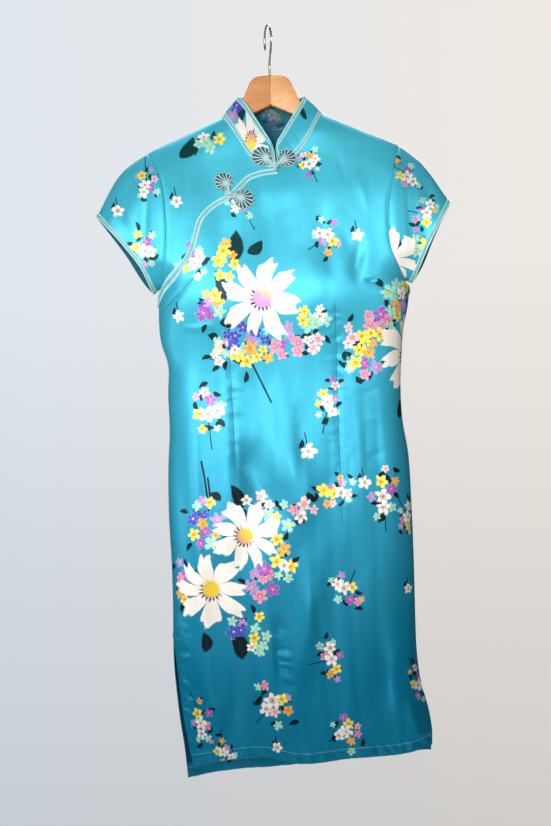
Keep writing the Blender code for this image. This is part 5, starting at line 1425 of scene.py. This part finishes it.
def makeFlower(name, node, ball, x, z, radius, hubX, hubZ):
    # loops of cord that fan out from the hub over a thin round foot, whose dark colour is painted shade
    # between the loops, and two cords from the hub to the ball knot
    normal, foot = seatOf(node)

    def seated(px, pz, height):
        # points at this height over the flower's tilted seat
        py = (foot - normal[0] * px - normal[2] * pz) / normal[1]
        return np.stack([px, py, pz], axis=-1) + np.asarray(height)[..., None] * normal
    parts = []
    for number in range(frog["petals"]):
        angle = 2 * np.pi * (number + frog["stagger"] * (number % 2)) / frog["petals"]
        path = seated(*cordPetal(x, z, radius, hubX, hubZ, angle))
        parts.append(tube(path, frog["cord"], around=8, rounded=2))
    hub = seated(hubX, hubZ, frog["hubHeight"])
    parts.append(ballOf(hub, frog["hub"]))
    way = unit(ball - hub)
    aside = unit(np.cross(way, normal)) * frog["tail"]
    arch = frog["tailArch"] * np.sin(np.linspace(0, np.pi, 8))[:, None] * normal
    for offset in (-aside, aside):
        ends = np.linspace(hub + offset, ball - way * frog["ball"] * 0.7 + offset, len(arch))
        parts.append(tube(ends + arch, frog["tail"], around=8, rounded=2))
    cords = sum(len(faces) for _, faces, _ in parts)
    # the foot: a dark sheet under the loops, its colour painted shade
    angle = np.linspace(0, 2 * np.pi, 48, endpoint=False)
    share = footRings["share"][:, None]
    disc = seated(hubX + share * (x - hubX + radius * np.cos(angle)),
                  hubZ + share * (z - hubZ + radius * np.sin(angle)), footRings["height"][:, None])
    for pole, ring in ((0, 1), (-1, -2)):      # a tiny ring, so that no face is without area
        disc[pole] = disc[pole].mean(axis=0) + 0.001 * (disc[ring] - disc[pole])
    quads = cappedQuads(*disc.shape[:2], flip=facesIn(disc, normal, 1, 0))
    parts.append((disc.reshape(-1, 3), quads, np.full((disc.size // 3, 2), 0.5)))
    points, quads, uv = gather(parts)
    used = np.arange(len(quads)) >= cords
    makePiece(name, points, quads, node, [frogCord, frogFootShade], uv, used)


def ballOf(centre, radii, rows=12, columns=18):
    # an ellipsoid from two angles, with closed poles
    a = np.linspace(0.02, np.pi - 0.02, rows)[:, None]
    b = np.linspace(0, 2 * np.pi, columns, endpoint=False)[None]
    x, y, z = np.broadcast_arrays(np.sin(a) * np.cos(b), np.sin(a) * np.sin(b), np.cos(a))
    points = np.stack([x, y, z], axis=-1) * radii + centre
    uv = spread(b / 2 / np.pi, a / np.pi)
    return points.reshape(-1, 3), cappedQuads(rows, columns, flip=True), uv.reshape(-1, 2)


def ringOf(centre, big, small, axis, around=30, section=8):
    # a torus: a circle of cord round the centre, square to the axis
    axis = unit(np.array(axis, float))
    one = unit(np.cross(axis, (0.3, 0.9, 0.1)))
    two = np.cross(axis, one)
    a = np.linspace(0, 2 * np.pi, around, endpoint=False)[:, None, None]
    b = np.linspace(0, 2 * np.pi, section, endpoint=False)[None, :, None]
    out = np.cos(a) * one + np.sin(a) * two
    points = centre + (big + small * np.cos(b)) * out + small * np.sin(b) * axis
    uv = spread(a[..., 0] * big * mm, b[..., 0] / fullTurn)
    return points.reshape(-1, 3), loopedQuads(around, section), uv.reshape(-1, 2)


def makeFrog(key):
    # two flowers, a ball knot of cord wound round a small core, and a loop round the ball
    low, high = (np.array(corner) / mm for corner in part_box(key + "_knot"))
    centre, radius = (low + high) / 2, frog["ball"]
    for side, row in zip(sides, zip(*flowers[key].values())):
        makeFlower(f"{key}_{side}_flower", f"{key}_flower_{side}", centre, *row)
    points, quads, uv = gather([ballOf(centre, (radius * frog["core"],) * 3)] + [
        ringOf(centre, radius - frog["wrapIn"], frog["wrap"], axis) for axis in wraps])
    makePiece(key + "_ball_knot", points, quads, key + "_knot", [frogCord], uv)
    low, high = (np.array(corner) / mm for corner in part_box(key + "_loop"))
    angle = np.radians(np.linspace(*knots[key]["loop"], 40))
    reach = frog["ball"] + frog["loopCord"] + frog["loopGap"]
    x, z = knots[key]["ball"]
    depth = np.full(len(angle), (low[1] + high[1]) / 2)
    path = np.column_stack([x + reach * np.cos(angle), depth, z + reach * np.sin(angle)])
    points, quads, uv = tube(path, frog["loopCord"], around=12)
    makePiece(key + "_cord_loop", points, quads, key + "_loop", [frogCord], uv)


# The hanger

hanger = dict(thick=10.0, edge=3.4, length=188.0, hub=-73.0, tip=7.0, under=0.46, notch=-118.6,
              droop=2.2, droopFrom=150.0, tilt=math.radians(1.6), middleGap=0.15, straight=4.0,
              middleRows=60, armRows=60, tipRows=12, corners=48, sharp=12)
armWood = dict(left=("dark_beech", darkBeech), right=("light_beech", lightBeech))
armTop = table("r z", (0, -73), (10, -73.3), (18, -74.2), (24, -76.5), (29, -81.5), (35, -93.5), (41, -107),
               (47, -118), (58, -133.2), (80, -144.4), (110, -158.7), (150, -177.8), (179, -191.6))


def makeArm(side):
    # sections across the arm: a rounded rectangle whose half height is half the gap between the top
    # line and the under line, closing in a round tip
    tip, length = hanger["tip"], hanger["length"]
    turn = np.linspace(0, np.pi / 2, hanger["tipRows"])[1:]
    r = np.concatenate([np.linspace(0, 60, hanger["middleRows"]),
                        np.linspace(60, length - tip, hanger["armRows"])[1:],
                        length - tip * (1 - np.sin(turn))])
    line = smoothLine(pairs(armTop, "r"))
    top = np.interp(r, line[:, 0], line[:, 1])
    droop = hanger["droop"] * ease((r - hanger["droopFrom"]) / (length - hanger["droopFrom"]))
    under = hanger["notch"] - hanger["under"] * r - droop
    close = np.sqrt(np.maximum(1 - np.clip((r - length + tip) / tip, 0, 1)**2, 0))
    middle, half = (top + under) / 2, (top - under) / 2 * np.maximum(close, 0.02)
    thick = hanger["thick"] / 2 * np.maximum(close, 0.05)**0.5
    # the rounded rectangle: a point of a circle at each angle, pushed out to the straight sides
    a = np.linspace(0, 2 * np.pi, hanger["corners"], endpoint=False)
    e = np.minimum(hanger["edge"], half)[:, None]
    flatHalf, flatThick = half[:, None] - e, np.maximum(thick[:, None] - e, 0)

    def pushed(v):
        # one or minus one, with a short turn between
        return np.sign(v) * np.clip(abs(v) * hanger["sharp"], 0, 1)
    z = middle[:, None] + pushed(np.sin(a)) * flatHalf + e * np.sin(a)
    y = pushed(np.cos(a)) * flatThick + np.minimum(e, thick[:, None]) * np.cos(a)
    x = np.broadcast_to(r[:, None], y.shape)
    # the arm leans forwards from the hub, and both arms are tilted about it
    bend, out = form["bend"], outward[side]
    across = out * (x * np.cos(bend) + y * np.sin(bend))
    across = np.where(x < hanger["straight"], out * np.maximum(x, hanger["middleGap"]), across)
    deep, up = y * np.cos(bend) - x * np.sin(bend), z - hanger["hub"]
    c, s = math.cos(hanger["tilt"]), math.sin(hanger["tilt"])
    points = np.stack([across * c + up * s, deep, hanger["hub"] + up * c - across * s], axis=-1)
    flip = facesIn(points, points[5, 0] - points[5].mean(axis=0), 5, 0)
    slot, material = armWood[side]
    makePiece(side + "_arm", points, cappedQuads(*points.shape[:2], flip=flip), "hanger_arm_" + side,
              [material], spread(x * mm, z * mm))


hook = dict(wire=1.8, radius=20.0, turn=math.radians(13), crown=(-36, 205))
shank = [(0, -90), (0, -78), (0, -66), (0, -62), (3.4, -53), (10.5, -43.5), (16.7, -34.0)]


def makeHook():
    # a wire: up the shank, round its bend and along the crown's arc, turned about the shank
    radius = hook["radius"] + hook["wire"]
    angle = np.radians(np.linspace(*hook["crown"], 90))
    crown = np.column_stack([radius * np.cos(angle), radius * np.sin(angle) - hook["radius"]])
    low = smoothLine([*shank, tuple(crown[2])], 10)[:-1]
    out, z = np.vstack([low, crown[2:]]).T
    path = np.column_stack([out * math.sin(hook["turn"]), -out * math.cos(hook["turn"]), z])
    points, quads, uv = tube(path, hook["wire"], around=16, rounded=6)
    makePiece("wire_hook", points, quads, "hanger_hook", [steel], uv)


print("cutting and hanging the panels")
makeFront()
makeBack()
makeUnderFront()
rings = {side: makeSleeve(side) for side in sides}
print("laying the piping and the collar")
makeOpeningPiping()
for side in sides:
    makeCuffPiping(side, *rings[side])
makeCollar()
print("stamping the print")
for name, data in clothPieces.items():
    stampCloth(name, data)
    markSewing(name, data)
print("tying the frogs")
for key in flowers:
    makeFrog(key)
print("shaping the hanger")
for side in sides:
    makeArm(side)
makeHook()


# The sheets: the size in metres that each was cut to, the area of that cut, and what goes with it
sheets = dict(
    front_panel=dict(flat=(0.42, 0.99), area=0.335, rests_on=("left_arm", "right_arm"), with_pieces=(
        "opening_piping", "neck_frog_right_flower", "neck_frog_ball_knot", "neck_frog_cord_loop",
        "chest_frog_right_flower", "chest_frog_ball_knot", "chest_frog_cord_loop")),
    back_panel=dict(flat=(0.41, 0.99), area=0.361, rests_on=("left_arm", "right_arm")),
    under_front_panel=dict(flat=(0.16, 0.26), area=0.029, rests_on=("left_arm",),
                           with_pieces=("neck_frog_left_flower", "chest_frog_left_flower")),
    left_sleeve=dict(flat=(0.45, 0.11), area=0.028, rests_on=("front_panel", "back_panel"),
                     with_pieces=("left_cuff_piping",)),
    right_sleeve=dict(flat=(0.44, 0.11), area=0.026, rests_on=("front_panel", "back_panel"),
                      with_pieces=("right_cuff_piping",)),
    standing_collar=dict(flat=(0.42, 0.037), area=0.0144, rests_on=("front_panel", "back_panel"),
                         with_pieces=("collar_edge_piping", "collar_base_piping")))
for name, facts in sheets.items():
    several = [bpy.data.objects[piece] for piece in facts.pop("with_pieces", ())]


# The studio, in metres

floorPlan = dict(half=1.5, points=13, z=-1.75, pale=(0.86, 0.86, 0.86), dark=(0.82, 0.82, 0.83))
view = dict(roll=math.radians(3.2), lens=61.02, sensor=36.0, place=(-0.020, -2.1, -0.579))
# The surroundings' two tints, how far across they blend, and their level near the ground.
sky = dict(left=(0.74, 0.80, 0.86), right=(0.865, 0.813, 0.768), across=2.6, low=0.66, lowFrom=-0.42,
           lowTo=0.1, ambient=0.17)
lampColour = (1.0, 0.985, 0.965)
lamps = dict(
    key=dict(place=(-0.35, -1.5, -0.30), aim=(0, 0, -0.36), size=1.0, power=3.75, spread=54),
    fill=dict(place=(0.9, -1.5, -0.2), aim=(0, 0, -0.5), size=1.0, power=0.5, spread=120),
    low=dict(place=(-0.3, -1.8, -1.25), aim=(-0.05, 0, -1.1), size=0.3, power=0.12, spread=40),
    graze=dict(place=(-1.2, -0.5, -0.8), aim=(0, 0, -0.85), size=0.25, power=0.65, spread=80),
    foot=dict(place=(0, -1.45, 0.9), aim=(0, -1.45, -1.75), size=0.9, power=4.0, spread=50),
    behind=dict(place=(0.5, 1.7, 0.2), aim=(0, 0, -0.6), size=1.2, power=16.0, spread=120),
    above=dict(place=(0, 1.0, 1.3), aim=(0, 0.1, -1.75), size=1.6, power=26.0, spread=150))


def makeFloor():
    # a level square of x and y
    mesh = bpy.data.meshes.new("floor")
    count = floorPlan["points"]
    line = np.linspace(-floorPlan["half"], floorPlan["half"], count)
    x, y = np.meshgrid(line, line)
    points = np.stack([x, y, np.full_like(x, floorPlan["z"])], axis=-1)
    mesh.from_pydata(points.reshape(-1, 3).tolist(), [], gridQuads(count, count))
    floor = bpy.data.objects.new("floor", mesh)
    bpy.context.scene.collection.objects.link(floor)
    board = Board("pale_floor", Roughness=0.8)
    grain = board.noise(board.place(), 14.0, 3.0)
    mesh.materials.append(board.finish(Base_Color=board.blend(grain, floorPlan["pale"], floorPlan["dark"])))


def makeSky():
    # two tints blended across, darker towards the ground; only the camera sees them at full strength
    board = Board("studio", world=True)
    x, _, z = board.split(board.node("ShaderNodeTexCoord", {}, {}))
    tint = board.blend((x * sky["across"] + 0.5).clip(), sky["left"], sky["right"])
    high = ((z - sky["lowFrom"]) / (sky["lowTo"] - sky["lowFrom"])).clip()
    level = high * (1 - sky["low"]) + sky["low"]
    tint = board.node("ShaderNodeVectorMath", dict(operation="SCALE"), {0: tint, "Scale": level})
    seen = board.node("ShaderNodeLightPath", {}, {})
    strength = seen * (1 - sky["ambient"]) + sky["ambient"]
    bpy.context.scene.world = board.finish(Color=tint, Strength=strength)


def makeLamp(name, place, aim, size, power, spread):
    # a round lamp at its place, turned to what it lights
    light = bpy.data.lights.new(name, "AREA")
    light.shape, light.size, light.energy, light.spread = "DISK", size, power, math.radians(spread)
    light.color = lampColour
    lamp = bpy.data.objects.new(name, light)
    bpy.context.scene.collection.objects.link(lamp)
    lamp.location = place
    lamp.rotation_euler = (Vector(aim) - Vector(place)).to_track_quat("-Z", "Y").to_euler()


def makeCamera():
    # level, in front of the garment, and rolled as the photograph is
    lens = bpy.data.cameras.new("camera")
    lens.lens, lens.sensor_width = view["lens"], view["sensor"]
    camera = bpy.data.objects.new("camera", lens)
    bpy.context.scene.collection.objects.link(camera)
    c, s = math.cos(view["roll"]), math.sin(view["roll"])
    x, y, z = view["place"]
    camera.matrix_world = Matrix(((c, s, 0, x), (0, 0, -1, y), (-s, c, 0, z), (0, 0, 0, 1)))
    bpy.context.scene.camera = camera


print("setting up the studio")
makeFloor()
makeSky()
for name, settings in lamps.items():
    makeLamp(name, **settings)
makeCamera()
bpy.context.scene.view_settings.view_transform = "Standard"
